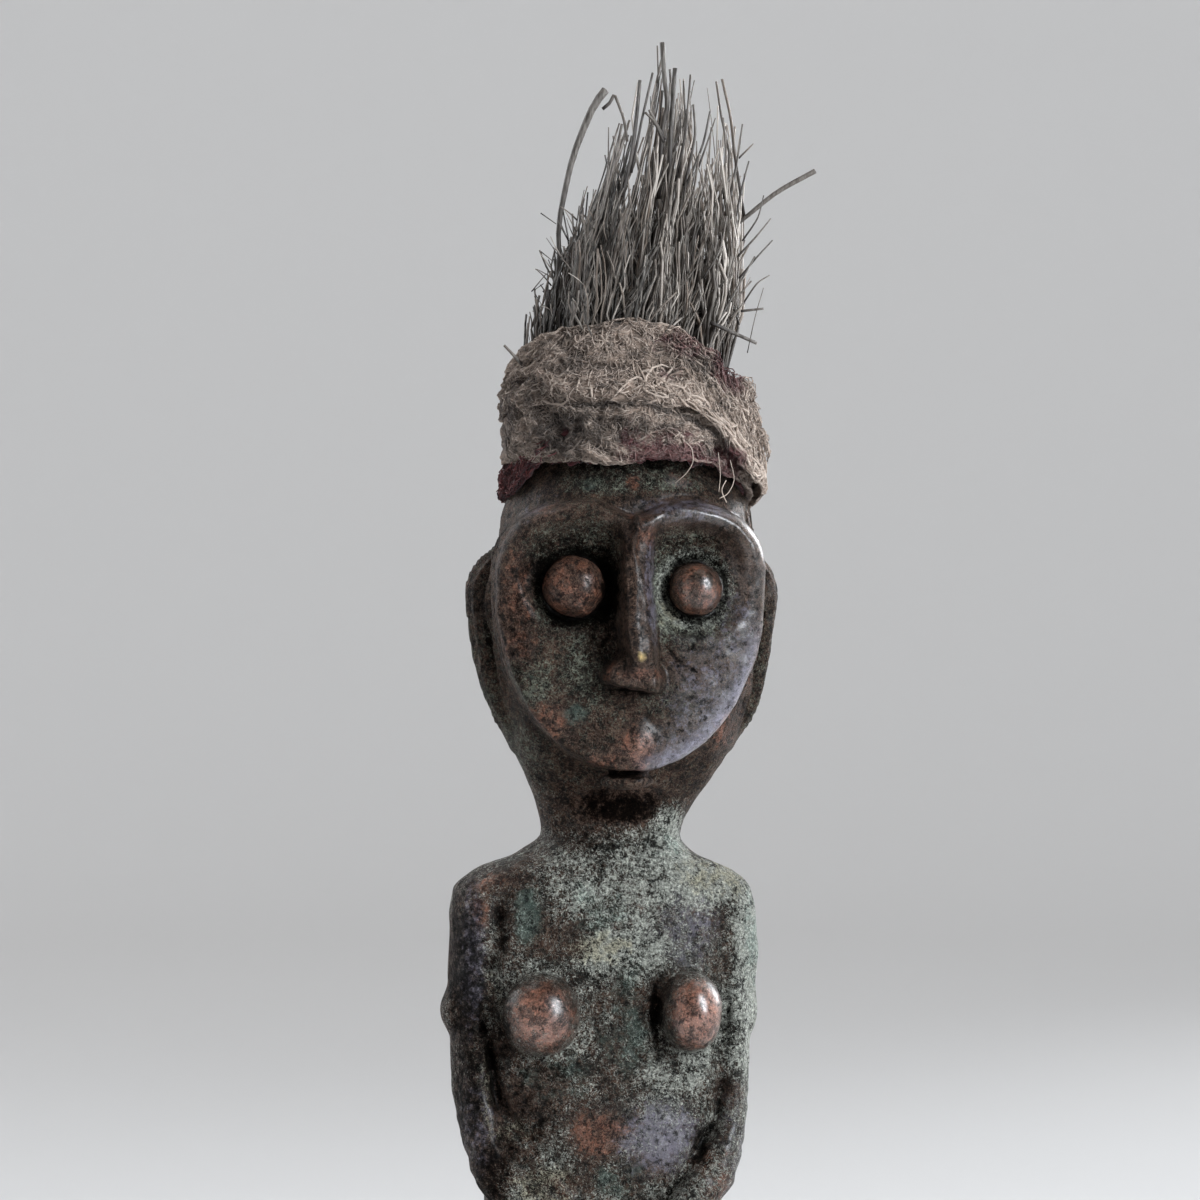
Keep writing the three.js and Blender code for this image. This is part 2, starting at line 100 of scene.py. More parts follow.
# %% Smooth randomness and soft steps
def lumps(points, size, seed):
    """Random height from -1 to 1 at points (..., 3): eight corner values of the cube of that size that
    holds the point, each weighted by t * t * (3 - 2t) along every axis."""
    table = np.random.default_rng(seed).uniform(-1, 1, (32, 32, 32))
    place = np.asarray(points) / size
    cell = np.floor(place).astype(np.int64)
    share = place - cell
    share = share * share * (3 - 2 * share)
    height = 0
    for corner in np.ndindex(2, 2, 2):
        weight = np.where(np.array(corner) == 1, share, 1 - share).prod(-1)
        i, j, k = np.moveaxis((cell + corner) % 32, -1, 0)
        height = height + weight * table[i, j, k]
    return height


def rough_lumps(points, size, seed, layers=3):
    """Lumps with finer lumps on them: each layer is half as large and half as high as the one before."""
    return sum(lumps(points, size / 2**layer, seed + layer) / 2**layer for layer in range(layers))


def ramp(value, start, end):
    """0 before start and 1 past end, turning smoothly between them as t * t * (3 - 2t)."""
    t = np.clip((value - start) / (end - start), 0, 1)
    return t * t * (3 - 2 * t)


def hill(value, width):
    """A soft bump of height 1 at 0: e to the power of minus the square of value over width."""
    return np.exp(-((value / width) ** 2))


def through(heights, values, at):
    """A smooth curve through the given values that never overshoots them: cubic pieces whose slope at each
    height is the harmonic mean of the slopes on its two sides, or level where those differ in sign."""
    heights, values = np.asarray(heights, float), np.asarray(values, float)
    slopes = np.diff(values) / np.diff(heights)
    before, after = np.r_[slopes[0], slopes], np.r_[slopes, slopes[-1]]
    product = before * after
    tangents = np.where(product > 0, 2 * product / np.where(product > 0, before + after, 1), 0)
    i = np.clip(np.searchsorted(heights, at, side="right") - 1, 0, len(heights) - 2)
    span = heights[i + 1] - heights[i]
    t = np.clip((at - heights[i]) / span, 0, 1)
    rise = t * t * (3 - 2 * t)
    bend = t * (1 - t) ** 2 * tangents[i] - t * t * (1 - t) * tangents[i + 1]
    return values[i] * (1 - rise) + values[i + 1] * rise + span * bend


def smooth_path(stations, count):
    """That many evenly spread stations on a smooth curve through each column of a few given ones."""
    rows = np.array(stations, float)
    at = np.linspace(0, len(rows) - 1, count)
    return np.stack([through(np.arange(len(rows)), column, at) for column in rows.T], -1)

# %% [markdown]
# The photograph was taken from the height of the nose's root, with the figure turned a little. The
# camera comes first, so that each piece can be looked at from the right place as it is made.

# %% The camera
CAMERA_DISTANCE, CAMERA_HEIGHT, CAMERA_TURN = 0.410, 0.130, math.radians(-8)
SEEN_WIDTH = 0.144      # what the frame takes in at the figure's axis
LOOKS_LEFT_OF_AXIS = 0.0006
SENSOR_WIDTH = 36

camera = put_object("photo_camera", bpy.data.cameras.new("photo_camera"))
camera.data.sensor_width = SENSOR_WIDTH
camera.data.lens = SENSOR_WIDTH * CAMERA_DISTANCE / SEEN_WIDTH
camera.location = (
    CAMERA_DISTANCE * math.sin(CAMERA_TURN) - LOOKS_LEFT_OF_AXIS * math.cos(CAMERA_TURN),
    -CAMERA_DISTANCE * math.cos(CAMERA_TURN) - LOOKS_LEFT_OF_AXIS * math.sin(CAMERA_TURN),
    CAMERA_HEIGHT,
)
camera.rotation_euler = (math.radians(90), 0, CAMERA_TURN)
bpy.context.scene.camera = camera
print("lens in mm:", round(camera.data.lens, 1))

# %% [markdown]
# The room behind is a plain pale wall. A flat floor would show its far edge from this low camera, so the
# floor runs out and curves up into a wall on every side, like a photographer's sweep that goes all the
# way round. Any other view then has the same plain backdrop.

# %% The sweep
FLOOR_RADIUS, SWEEP_RADIUS, WALL_HEIGHT = 900, 700, 2400


def make_sweep(around=96):
    """The profile is carried round: level out to the floor's radius, a quarter circle up, then a wall."""
    bend = np.linspace(0, math.pi / 2, 17)
    curve = FLOOR_RADIUS + SWEEP_RADIUS * np.sin(bend)
    reach = np.r_[np.linspace(2, FLOOR_RADIUS, 6)[:-1], curve, curve[-1]][:, None]
    height = np.r_[np.zeros(5), SWEEP_RADIUS * (1 - np.cos(bend)), WALL_HEIGHT][:, None]
    angle = np.linspace(0, 2 * math.pi, around, endpoint=False)
    points = np.stack([reach * np.cos(angle), reach * np.sin(angle), height + 0 * angle], -1)
    middle = fan(len(reach) * around, np.arange(around))
    squares = ring_squares(len(reach), around)[:, ::-1]
    return put_mesh("sweep", np.r_[points.reshape(-1, 3), [[0, 0, 0]]], squares, middle)


sweep = make_sweep()

# %% [markdown]
# The light is a tall window to the right of the camera, with a pale wall far to the left that throws a
# little back. Two narrow lamps behind the figure draw the thin bright rims on its sides. The last one
# lights the wall behind and not the figure, so that the backdrop stays pale while the figure's shaded
# side goes dark. The colours have no film curve, because old bronze and its painted shade should stay deep.

# %% The lights
FIGURE, WALL_BEHIND = (0, 0, 0.12), (0, 1.5, 0.35)
LAMPS = (
    # name, degrees round from the camera's side, height, distance, width, tallness, watts, degrees of
    # spread, colour, what it faces
    ("window", 43, 0.50, 0.95, 0.42, 0.66, 16.5, 180, (0.90, 0.95, 1.0), FIGURE),
    ("far_wall_glow", -122, 0.4, 1.1, 0.7, 0.9, 2.6, 180, (0.97, 0.98, 1.0), FIGURE),
    ("rear_glow_left", 128, 0.45, 1.0, 0.5, 0.8, 1.2, 36, (0.93, 0.96, 1.0), FIGURE),
    ("rear_glow_right", -138, 0.45, 1.0, 0.5, 0.8, 0.5, 36, (0.93, 0.96, 1.0), FIGURE),
    ("wall_wash", 180, 1.7, 0.25, 1.6, 0.7, 12.2, 180, (1.0, 0.97, 0.95), WALL_BEHIND),
)

for name, turn, height, distance, width, tallness, watts, spread, colour, faces in LAMPS:
    lamp = bpy.data.lights.new(name, "AREA")
    lamp.shape, lamp.size, lamp.size_y = "RECTANGLE", width, tallness
    lamp.energy, lamp.spread, lamp.color = watts, math.radians(spread), colour
    holder = put_object(name, lamp)
    angle = math.radians(turn)
    holder.location = (distance * math.sin(angle), -distance * math.cos(angle), height)
    holder.rotation_euler = (Vector(faces) - holder.location).to_track_quat("-Z", "Y").to_euler()
    holder.visible_camera = False

world = bpy.data.worlds.new("room")
bpy.context.scene.world = world
world.use_nodes = True
sky = world.node_tree.nodes["Background"].inputs
sky["Color"].default_value, sky["Strength"].default_value = (0.86, 0.88, 0.92, 1), 0.035
bpy.context.scene.view_settings.view_transform = "Standard"

# %% [markdown]
# The casting is one flowing form: limbs, trunk and head melt into each other as wax does before it is
# cast. Separate boxes and balls with a modifier over them would show their joints. Instead the figure is
# a field of distances: a function that says how far any place is from the bronze. Two shapes are joined
# by taking the smaller distance, with a fillet where the two are nearly the same.

# %% Joining and cutting by distance
def join(a, b, fillet):
    """The smaller of two distances, less a quarter of the fillet where they are equal: the shapes melt
    together."""
    near = np.maximum(fillet - np.abs(a - b), 0) / fillet
    return np.minimum(a, b) - near * near * fillet / 4


def keep_both(a, b, fillet):
    """Only what lies in both shapes: the larger distance, with its edge rounded by the fillet."""
    return -join(-a, -b, fillet)


def cut(a, b, fillet):
    """The first shape without the second."""
    return keep_both(a, -b, fillet)


def oval(place, radii):
    """Distance to an oval: the place in units of the radii, less 1, over how fast that grows outwards."""
    size = np.sqrt(sum((at / radius) ** 2 for at, radius in zip(place, radii))) + 1e-6
    growth = np.sqrt(sum((at / radius**2) ** 2 for at, radius in zip(place, radii))) + 1e-6
    return size * (size - 1) / growth


def egg(p, centre, radii, lean=0.0):
    """Distance to an oval with that centre. Lean turns it about the front-to-back axis."""
    x, y, z = (p[axis] - centre[axis] for axis in range(3))
    if lean:
        x, z = x * math.cos(lean) - z * math.sin(lean), x * math.sin(lean) + z * math.cos(lean)
    return oval((x, y, z), radii)


def measured(q, way):
    """How far a place lies along a direction: the sum of their products."""
    return q[0] * way[0] + q[1] * way[1] + q[2] * way[2]


def limb(p, stations, forward=(0, 1, 0)):
    """Distance to a limb. Between each two of its stations (x, y, z, side, fore) lies an oval that changes
    evenly along the stretch, and the nearest stretch counts."""
    whole = np.inf
    rows = smooth_path(stations, 3 * len(stations) - 2)
    for start, end in zip(rows, rows[1:]):
        length = np.linalg.norm(end[:3] - start[:3])
        along = (end[:3] - start[:3]) / length
        across = np.cross(forward, along)
        across /= np.linalg.norm(across)
        q = [p[axis] - start[axis] for axis in range(3)]
        t = np.clip(measured(q, along) / length, 0, 1)
        side, fore = (start[k] + (end[k] - start[k]) * t for k in (3, 4))
        q = [q[axis] - t * length * along[axis] for axis in range(3)]
        place = [measured(q, way) for way in (across, np.cross(along, across), along)]
        whole = np.minimum(whole, oval(place, (side, fore, np.minimum(side, fore))))
    return whole


def line_distance(x, z, stations):
    """How far a place on the front is from a bent line drawn on it, seen from the front."""
    nearest = np.inf
    for (ax, az), (bx, bz) in zip(stations, stations[1:]):
        run, rise = bx - ax, bz - az
        t = np.clip(((x - ax) * run + (z - az) * rise) / (run * run + rise * rise), 0, 1)
        nearest = np.minimum(nearest, np.hypot(x - ax - t * run, z - az - t * rise))
    return nearest

# %% [markdown]
# The trunk, neck and skull are one run of rounded sections. Each row gives a height, the middle, the half
# width, how far the front and back lie from the axis, and how square the section is: 2 is an oval, and
# larger numbers are nearer to a box. The slab of the chest is the squarest.

# %% Trunk, neck and skull
CROTCH_Z, BREAST_Z, NECK_Z, CHIN_Z, EYE_Z, BROW_Z, CROWN_Z = 41, 81.8, 102, 108.6, 131, 142, 151.4
HEAD_X, FACE_Y, FACE_HALF, FACE_MIDDLE_Z = 1.6, -13.4, 15.9, 131.2
TRUNK_ROWS = (
    # height, middle, half width, front, back, squareness
    (CROTCH_Z, -0.3, 11.5, -5.5, 7.5, 2.3),
    (45, -0.3, 14.2, -6.8, 9.4, 2.3),
    (50, -0.3, 14.9, -7.6, 9.8, 2.4),
    (57, -0.3, 14.2, -8.4, 8.2, 2.5),
    (64, -0.4, 14.4, -8.9, 7.2, 2.6),
    (74, -0.5, 15.4, -8.4, 7.4, 2.8),
    (86, -0.4, 17.2, -8.0, 8.0, 3.2),
    (93, -0.3, 18.2, -7.6, 8.0, 3.4),
    (95.4, -0.3, 17.9, -7.3, 7.8, 3.0),
    (97.6, -0.3, 15.6, -6.8, 7.6, 2.6),
    (99.8, 0.1, 10.4, -6.0, 7.2, 2.3),
    (NECK_Z, 0.7, 8.4, -5.3, 7.0, 2.1),
    (105.4, 1.2, 9.4, -5.4, 8.0, 2.1),
    (109, HEAD_X + 0.2, 11.4, -7.0, 9.6, 2.2),
    (114, HEAD_X + 0.5, 13.9, -9.7, 10.8, 2.3),
    (121, HEAD_X + 0.4, 15.8, -10.8, 11.6, 2.4),
    (129, HEAD_X + 0.4, 16.3, -11.2, 12.0, 2.4),
    (136, HEAD_X + 0.85, 15.3, -11.6, 11.6, 2.3),
    (140, HEAD_X + 0.9, 14.9, -12.0, 11.0, 2.2),
    (143, HEAD_X + 0.9, 13.8, -12.2, 11.0, 2.1),
    (146, HEAD_X + 0.7, 12.0, -11.2, 9.8, 2.0),
    (149, HEAD_X + 0.7, 8.6, -7.9, 6.9, 2.0),
    (CROWN_Z, HEAD_X + 0.7, 2.4, -2.2, 1.8, 2.0),
)
LEVELS = np.arange(CROTCH_Z, CROWN_Z + 0.1, 0.2)
row_heights, *row_columns = np.array(TRUNK_ROWS).T
TRUNK = [through(row_heights, column, LEVELS) for column in row_columns]
TRUNK_GROWTH = [np.gradient(column, LEVELS) for column in TRUNK[1:4]]


def trunk(p):
    """With u and v the point's share of the half width and of the depth, g = (u^s + v^s)^(1/s) is 1 on the
    skin. The distance is g - 1 over the length of g's gradient."""
    x, y, z = p
    middle, wide, front, back, square = (np.interp(z, LEVELS, column) for column in TRUNK)
    wide_growth, front_growth, back_growth = (np.interp(z, LEVELS, column) for column in TRUNK_GROWTH)
    deep, deep_growth = np.where(y < 0, (-front, -front_growth), (back, back_growth))
    u, v = np.abs(x - middle) / wide + 1e-5, np.abs(y) / deep + 1e-5
    g = (u**square + v**square) ** (1 / square)
    lean_x = (u / g) ** (square - 1) / wide
    lean_y = (v / g) ** (square - 1) / deep
    lean_z = lean_x * u * wide_growth + lean_y * v * deep_growth
    side = (g - 1) / np.sqrt(lean_x**2 + lean_y**2 + lean_z**2)
    return keep_both(keep_both(side, CROTCH_Z - z, 2.0), z - CROWN_Z, 0.6)

# %% [markdown]
# The face is a mask in front of the skull, with a heart-shaped top. Its outline is half an ellipse below
# the eyes and half a squarer one above. On the front, everything that is hollow or proud is a sum of soft
# hills: the rolled rim of the brows, two dished sockets, a groove round each eye, cheeks that round back
# to a crisp edge, the wedge of the nose, and the swelling above the mouth.

# %% The face
EYES = (
    # x, z, radius
    (HEAD_X - 7.0, EYE_Z + 0.5, 3.6),
    (HEAD_X + 7.4, EYE_Z + 0.3, 3.2),
)
EYE_DEPTH = 1.2         # how far a ball's middle lies behind the mask's front
MOUTH_X, MOUTH_Z = HEAD_X - 0.7, CHIN_Z + 1.3
MASK_LOW_Z = 109.9
NOSE_HEIGHTS = (119.4, 120.4, 121.4, 122.4, 123.4, 124.6, 127, 131, 135, 139, 142)
NOSE_RIDGE = (1.6, 1.6, 1.6, 1.5, 1.4, 1.15, 1.0, 0.9, 1.0, 1.4, 1.9)
NOSE_SHADED_FOOT = (1.6, 1.6, 1.5, 1.4, 1.3, 1.2, 1.2, 1.3, 1.6, 2.4, 3.2)      # to the figure's right
NOSE_LIT_FOOT = (1.6, 1.6, 1.9, 2.2, 2.5, 2.7, 2.7, 2.6, 2.6, 2.9, 3.4)
NOSE_PROUD = (1.4, 2.3, 3.3, 4.3, 4.9, 4.7, 4.3, 3.5, 2.6, 1.5, 0.4)
WING_SHADED_HALF = (4.2, 4.9, 5.2, 4.2, 2.8, 1.3, 0.5, 0.5, 0.5, 0.5, 0.5)
WING_LIT_HALF = (3.5, 3.7, 3.7, 3.3, 2.6, 1.4, 0.5, 0.5, 0.5, 0.5, 0.5)
NOSE_BEVEL_SLOPE, NOSE_BEVEL_WIDTH = 0.45, 1.5


def face_outline(x, z):
    """Distance to the mask's edge, seen from the front. The top edge dips between the brows."""
    x = x - HEAD_X
    up = z + 2.4 * hill(x, 3.0) * ramp(z, FACE_MIDDLE_Z, BROW_Z) - FACE_MIDDLE_Z
    reach = np.where(up > 0, BROW_Z - FACE_MIDDLE_Z, FACE_MIDDLE_Z - MASK_LOW_Z)
    power = np.where(up > 0, 3.0, 2.0)
    u, v = np.abs(x) / FACE_HALF + 1e-5, np.abs(up) / reach + 1e-5
    g = (u**power + v**power) ** (1 / power)
    return (g - 1) / np.hypot((u / g) ** (power - 1) / FACE_HALF, (v / g) ** (power - 1) / reach)


def nose_relief(x, z):
    """How far the nose stands out of the face: a ridge that rises to the tip, steep on its shaded side and
    bevelled on its lit one, and two low wings that spread beside and below the tip."""
    columns = NOSE_RIDGE, NOSE_SHADED_FOOT, NOSE_LIT_FOOT, NOSE_PROUD, WING_SHADED_HALF, WING_LIT_HALF
    middle, shaded, lit, proud, wing_shaded, wing_lit = (
        through(NOSE_HEIGHTS, column, z) for column in columns)
    to_lit, to_shaded = x - middle - 0.3, middle - x - 0.6
    bevel = np.minimum(NOSE_BEVEL_SLOPE * np.clip(to_lit, 0, NOSE_BEVEL_WIDTH), 0.5 * proud)
    ridge = (proud - bevel) * (1 - ramp(to_lit, NOSE_BEVEL_WIDTH - 0.2, lit + 0.6))
    ridge = ridge * (1 - ramp(to_shaded, 0, shaded))
    wing = 2.9 * (1 - ramp(np.abs(x - middle) / np.where(x < middle, wing_shaded, wing_lit), 0.5, 1.05))
    low_edge = 119.7 - 0.16 * (x - 1.5)
    return -join(-ridge, -wing, 0.5) * ramp(z, low_edge - 0.35, low_edge + 0.25)


def face_front(x, z, edge):
    """Where the mask's front lies: the face plane, set back by each hollow and brought forward by each
    swelling."""
    across = x - HEAD_X
    cheek = ramp(z, 138, 127)
    front = FACE_Y + 0.0045 * across**2 + 1.0 * cheek * np.clip(1 + edge / 5.0, 0, 1) ** 2
    front = front - 1.05 * (1 - cheek) * hill(edge + 1.6, 1.6)
    for eye_x, eye_z, radius in EYES:
        dish = ((x - eye_x) / 6.4) ** 2 + ((z - eye_z - 1.0) / np.where(z > eye_z + 1.0, 7.0, 6.8)) ** 2
        front = front + 1.75 * ramp(dish, 1.25, 0.1)
        front = front + 0.4 * hill(np.hypot(x - eye_x, z - eye_z) - radius - 0.2, 0.5)
    front = front - 1.0 * hill(across + 0.4, 2.6) * ramp(z, 119, 112.5)
    return front - nose_relief(x, z)


def face_mask(p):
    """What lies behind the front, inside the outline and before the skull."""
    edge = face_outline(p[0], p[2])
    front = face_front(p[0], p[2], edge) - p[1]
    mask = keep_both(edge, front * 0.9, 0.6 + 0.6 * ramp(p[0], 3, 9) + 0.8 * ramp(p[2], 134, 140))
    return keep_both(mask, p[1] - (FACE_Y + 10), 1.0)


def lips(p, bronze):
    """A swelling under the mask's lowest edge for the lower lip, and a slit between the two."""
    lower = egg(p, (MOUTH_X + 0.2, FACE_Y + 2.7, MOUTH_Z - 1.1), (3.2, 2.2, 1.05))
    bronze = join(bronze, lower, 1.2)
    return cut(bronze, egg(p, (MOUTH_X - 0.3, FACE_Y + 0.2, MOUTH_Z - 0.15), (2.4, 2.4, 0.52)), 0.3)


EAR = ((12.8, -0.6, 112.9, 0.8, 1.0), (15.3, -0.6, 118.5, 1.3, 2.6), (16.5, -0.4, 125, 1.5, 3.2),
       (16.8, -0.2, 130.4, 1.9, 3.8), (16.0, -0.1, 133.2, 1.8, 3.4), (14.2, 0, 135.2, 1.4, 2.2))


def mirrored(stations, side, middle=0.0):
    """The stations of a left limb, or of its mirror image where side is -1."""
    return [(middle + side * x, *rest) for x, *rest in stations]


def add_head(p, bronze):
    """The mask, eyes, mouth and ears, joined to the skull one after the other."""
    bronze = join(bronze, face_mask(p), 0.8)
    for side in (-1, 1):
        bronze = join(bronze, limb(p, mirrored(EAR, side, HEAD_X + 0.4)), 1.2)
    beside_ear = ramp(np.abs(p[0] - HEAD_X), 13.4, 15) * ramp(p[1], -11, -8.5) * ramp(p[1], 5, 1)
    bronze = bronze + 0.2 * beside_ear * np.cos(p[1] * 3.6 + 0.05 * p[2]) * ramp(p[2], 112, 116)
    for eye_x, eye_z, radius in EYES:
        bronze = join(bronze, egg(p, (eye_x, FACE_Y + EYE_DEPTH, eye_z), (radius, radius, radius)), 0.35)
    return lips(p, bronze)

# %% [markdown]
# The arms lie flat against the slab of the trunk and meet at the belly, so each is hardly more than a
# swelling and a crease. The creases are drawn as lines on the front and pressed in by a soft groove. They
# follow what the photograph shows: a deep one at the figure's right armpit, and one along each forearm.

# %% Arms, breasts, hands
ARM = ((14.2, 0.4, 92, 3.6, 5.8), (15.3, 0, 82, 2.8, 5.6), (14.8, -0.8, 72, 2.9, 5.6),
       (12.7, -3.4, 63.6, 3.1, 5.3), (9.2, -7.0, 58.6, 3.0, 3.2), (5.2, -8.8, 53.6, 2.6, 2.3))
ARMS_X = -0.7
HAND_LEAN = 0.6
CREASES = (
    # how deep, how wide, then the line on the front as (x, z)
    (1.2, 1.1, ((-12.9, 94.8), (-13.4, 91), (-14.4, 87.2))),
    (0.5, 0.9, ((-14.4, 87), (-15.0, 83), (-14.2, 76))),
    (0.5, 0.7, ((-14.2, 76.5), (-13.5, 71), (-11.0, 67.6), (-7.3, 64.2), (-4.0, 59.5))),
    (1.0, 0.8, ((13.5, 72.6), (12.7, 68.2), (9.6, 64.2), (7.6, 61.3), (4.6, 57.5))),
    (0.45, 0.9, ((12.6, 93.5), (13.4, 88), (13.6, 76))),
    (0.6, 0.55, ((0.5, 86.2), (0.9, 79.0), (2.6, 76.6), (5.0, 75.5))),
    (0.5, 0.7, ((-2.0, 86.4), (-2.0, 81), (-2.8, 76.4))),
    (0.3, 0.8, ((5.6, 92.5), (3.6, 88.5))),
    (0.9, 0.75, ((5.4, 85.6), (4.7, 81.4), (5.8, 76.6))),
    (0.5, 0.7, ((13.4, 85.6), (13.9, 81.2), (12.6, 77))),
    (0.5, 0.8, ((-13.4, 84.6), (-13.9, 80.6), (-12.2, 77.2))),
)
SWELLINGS = (
    # centre, radii, fillet: the two breasts, then the bulges of the upper arms
    ((-8.7, -8.3, BREAST_Z - 0.3), (4.5, 4.6, 4.9), 0.6),
    ((9.1, -7.8, BREAST_Z - 0.4), (3.7, 4.9, 4.9), 0.5),
    ((-17.9, -0.8, 81.2), (1.8, 2.6, 2.3), 1.6),
    ((16.9, -0.4, 81.0), (1.4, 2.6, 2.6), 1.8),
    ((16.3, -0.6, 87.0), (2.0, 3.4, 4.6), 1.8),
)


def arm_and_hand(p, side):
    """The arm's ovals, the hand's egg at its end, and three shallow cuts between the fingers."""
    whole = limb(p, mirrored(ARM, side, ARMS_X), (0, 1, 0.35))
    hand = egg(p, (side * 3.2, -8.9, 52), (3.3, 1.9, 4.0), -side * HAND_LEAN)
    for finger in (-1, 0, 1):
        place = (side * (2.4 + finger * 0.3), -10.9, 51.1 + finger * 1.5)
        hand = cut(hand, egg(p, place, (2.6, 0.8, 0.3), -side * HAND_LEAN), 0.3)
    return join(whole, hand, 1.2)


def add_torso(p, bronze):
    """Arms, swellings and seat are joined to the trunk. The creases and the spine are pressed into it."""
    x, y, z = p
    for side in (-1, 1):
        bronze = join(bronze, arm_and_hand(p, side), 0.9)
    on_front = ramp(y, -1, -5)
    for depth, width, line in CREASES:
        bronze = bronze + depth * on_front * hill(line_distance(x, z, line), width)
    bronze = bronze + 0.5 * on_front * hill(np.hypot(x - 0.4, z - 91.3), 0.6)
    for centre, radii, fillet in SWELLINGS:
        bronze = join(bronze, egg(p, centre, radii), fillet)
    spine = hill(x + 0.4, 1.7) * ramp(y, 4, 7) * ramp(z, 52, 58) * ramp(z, 99, 92)
    seat = join(egg(p, (-5.6, 5.4, 48), (6.0, 4.9, 6.4)), egg(p, (4.9, 5.4, 48), (6.0, 4.9, 6.4)), 1.0)
    return join(bronze + 0.9 * spine, seat, 2.0)

# %% [markdown]
# The photograph ends above the hands, so the legs, feet and low base are plainer guesses in the same
# manner: bent knees, feet flat on a slab, toes parted by short cuts.

# %% Legs, feet and base
LEG_X, BASE_WIDTH, BASE_DEPTH, BASE_HEIGHT, BASE_CORNER, BASE_EASE = 7.9, 44, 36, 5, 9, 0.8
LEG = ((LEG_X - 0.6, 1.0, 47, 6.2, 7.0), (LEG_X, -1.6, 34, 5.4, 6.2), (LEG_X, -3.4, 26, 4.9, 5.4),
       (LEG_X, 0.2, 18, 4.5, 5.2), (LEG_X, 1.8, 7, 3.7, 4.2))


def corner(a, b):
    """Distance to the corner where two flat faces meet, from the distances to the two."""
    return np.hypot(np.maximum(a, 0), np.maximum(b, 0)) + np.minimum(np.maximum(a, b), 0)


def base_slab(p):
    """A slab with rounded corners seen from above, whose top and bottom edges are eased by a small
    round."""
    side_x = np.abs(p[0]) - (BASE_WIDTH / 2 - BASE_CORNER)
    side_y = np.abs(p[1]) - (BASE_DEPTH / 2 - BASE_CORNER)
    outline = corner(side_x, side_y) - BASE_CORNER + BASE_EASE
    level = np.abs(p[2] - BASE_HEIGHT / 2) - BASE_HEIGHT / 2 + BASE_EASE
    return corner(outline, level) - BASE_EASE


def leg_and_foot(p, side):
    """The leg's ovals, a foot like half an egg, and four cuts between the toes."""
    foot = egg(p, (side * (LEG_X + 0.3), -3.4, BASE_HEIGHT + 1), (4.3, 9.6, 4.2))
    for toe in (-1.5, -0.5, 0.5, 1.5):
        place = (side * (LEG_X + 0.3) + toe * 1.7, -13.2, BASE_HEIGHT + 2.6)
        foot = cut(foot, egg(p, place, (0.4, 3.4, 2.2)), 0.4)
    knee = egg(p, (side * LEG_X, -6.6, 27), (3.4, 2.4, 3.4))
    return join(join(limb(p, mirrored(LEG, side)), knee, 2.0), foot, 1.6)


def figure(p):
    """The whole casting as a field of distances. A part is left out where every point is far above or below
    it."""
    lowest, highest = p[2].min(), p[2].max()

    def reaches(bottom, top):
        return highest > bottom - 4 and lowest < top + 4

    bronze = base_slab(p)
    if reaches(CROTCH_Z, CROWN_Z):
        bronze = join(bronze, trunk(p), 0.5)
    if reaches(BASE_HEIGHT, 55):
        for side in (-1, 1):
            bronze = join(bronze, leg_and_foot(p, side), 0.7)
    if reaches(42, 100):
        bronze = add_torso(p, bronze)
    if reaches(CHIN_Z - 4, BROW_Z + 2):
        bronze = add_head(p, bronze)
    return bronze

# %% [markdown]
# A field becomes a mesh by surface nets. The space is divided into small cells. A cell that the surface
# passes through gets one point, at the mean of the places where the surface crosses the cell's edges, and
# each edge that is crossed gets a square between the four cells round it. The points are then moved onto
# the surface exactly, by stepping along the field's slope.

# %% From the field to a mesh
def surface_net(field, axes):
    """Points and squares of the surface where the field is 0, on the grid that the three axes span."""
    chunks = []
    for heights in np.array_split(axes[2], 24):
        grid = np.meshgrid(axes[0], axes[1], heights, indexing="ij")
        chunks.append(field([coordinate.astype(np.float32) for coordinate in grid]).astype(np.float32))
    value = np.concatenate(chunks, 2)
    cells = tuple(np.array(value.shape) - 1)
    total, hits, edges = np.zeros((3, *cells)), np.zeros(cells), []
    for axis in range(3):
        low = value[tuple(slice(None, -1) if k == axis else slice(None) for k in range(3))]
        high = value[tuple(slice(1, None) if k == axis else slice(None) for k in range(3))]
        found = np.nonzero((low < 0) != (high < 0))
        share = low[found] / (low[found] - high[found])
        place = [axes[k][found[k]] for k in range(3)]
        place[axis] = place[axis] + share * (axes[axis][found[axis] + 1] - axes[axis][found[axis]])
        others = [(axis + 1) % 3, (axis + 2) % 3]
        around = []
        for back_1, back_2 in ((1, 1), (0, 1), (0, 0), (1, 0)):
            cell = list(found)
            cell[others[0]] = cell[others[0]] - back_1
            cell[others[1]] = cell[others[1]] - back_2
            number = np.ravel_multi_index(cell, cells)
            around.append(number)
            np.add.at(hits.reshape(-1), number, 1)
            for k in range(3):
                np.add.at(total[k].reshape(-1), number, place[k])
        squares = np.stack(around, -1)
        edges.append(np.where((low[found] < 0)[:, None], squares, squares[:, ::-1]))
    used = hits.reshape(-1) > 0
    names = np.cumsum(used) - 1
    points = (total.reshape(3, -1)[:, used] / hits.reshape(-1)[used]).T
    return points, names[np.concatenate(edges)]


def slope(field, points, step=0.06):
    """The field's gradient at the points, from its values a small step to either side along each axis."""
    columns = []
    for axis in range(3):
        shift = np.zeros(3)
        shift[axis] = step
        columns.append((field((points + shift).T) - field((points - shift).T)) / (2 * step))
    return np.stack(columns, -1)


def settle(field, points, rounds=2):
    """Moves points onto the surface: each goes back along the slope by the field's value over the slope's
    length."""
    for _ in range(rounds):
        steepness = slope(field, points)
        move = field(points.T)[:, None] * steepness / (steepness**2).sum(-1, keepdims=True)
        points = points - np.clip(move, -0.3, 0.3)
    steepness = slope(field, points)
    return points, steepness / np.linalg.norm(steepness, axis=-1, keepdims=True)


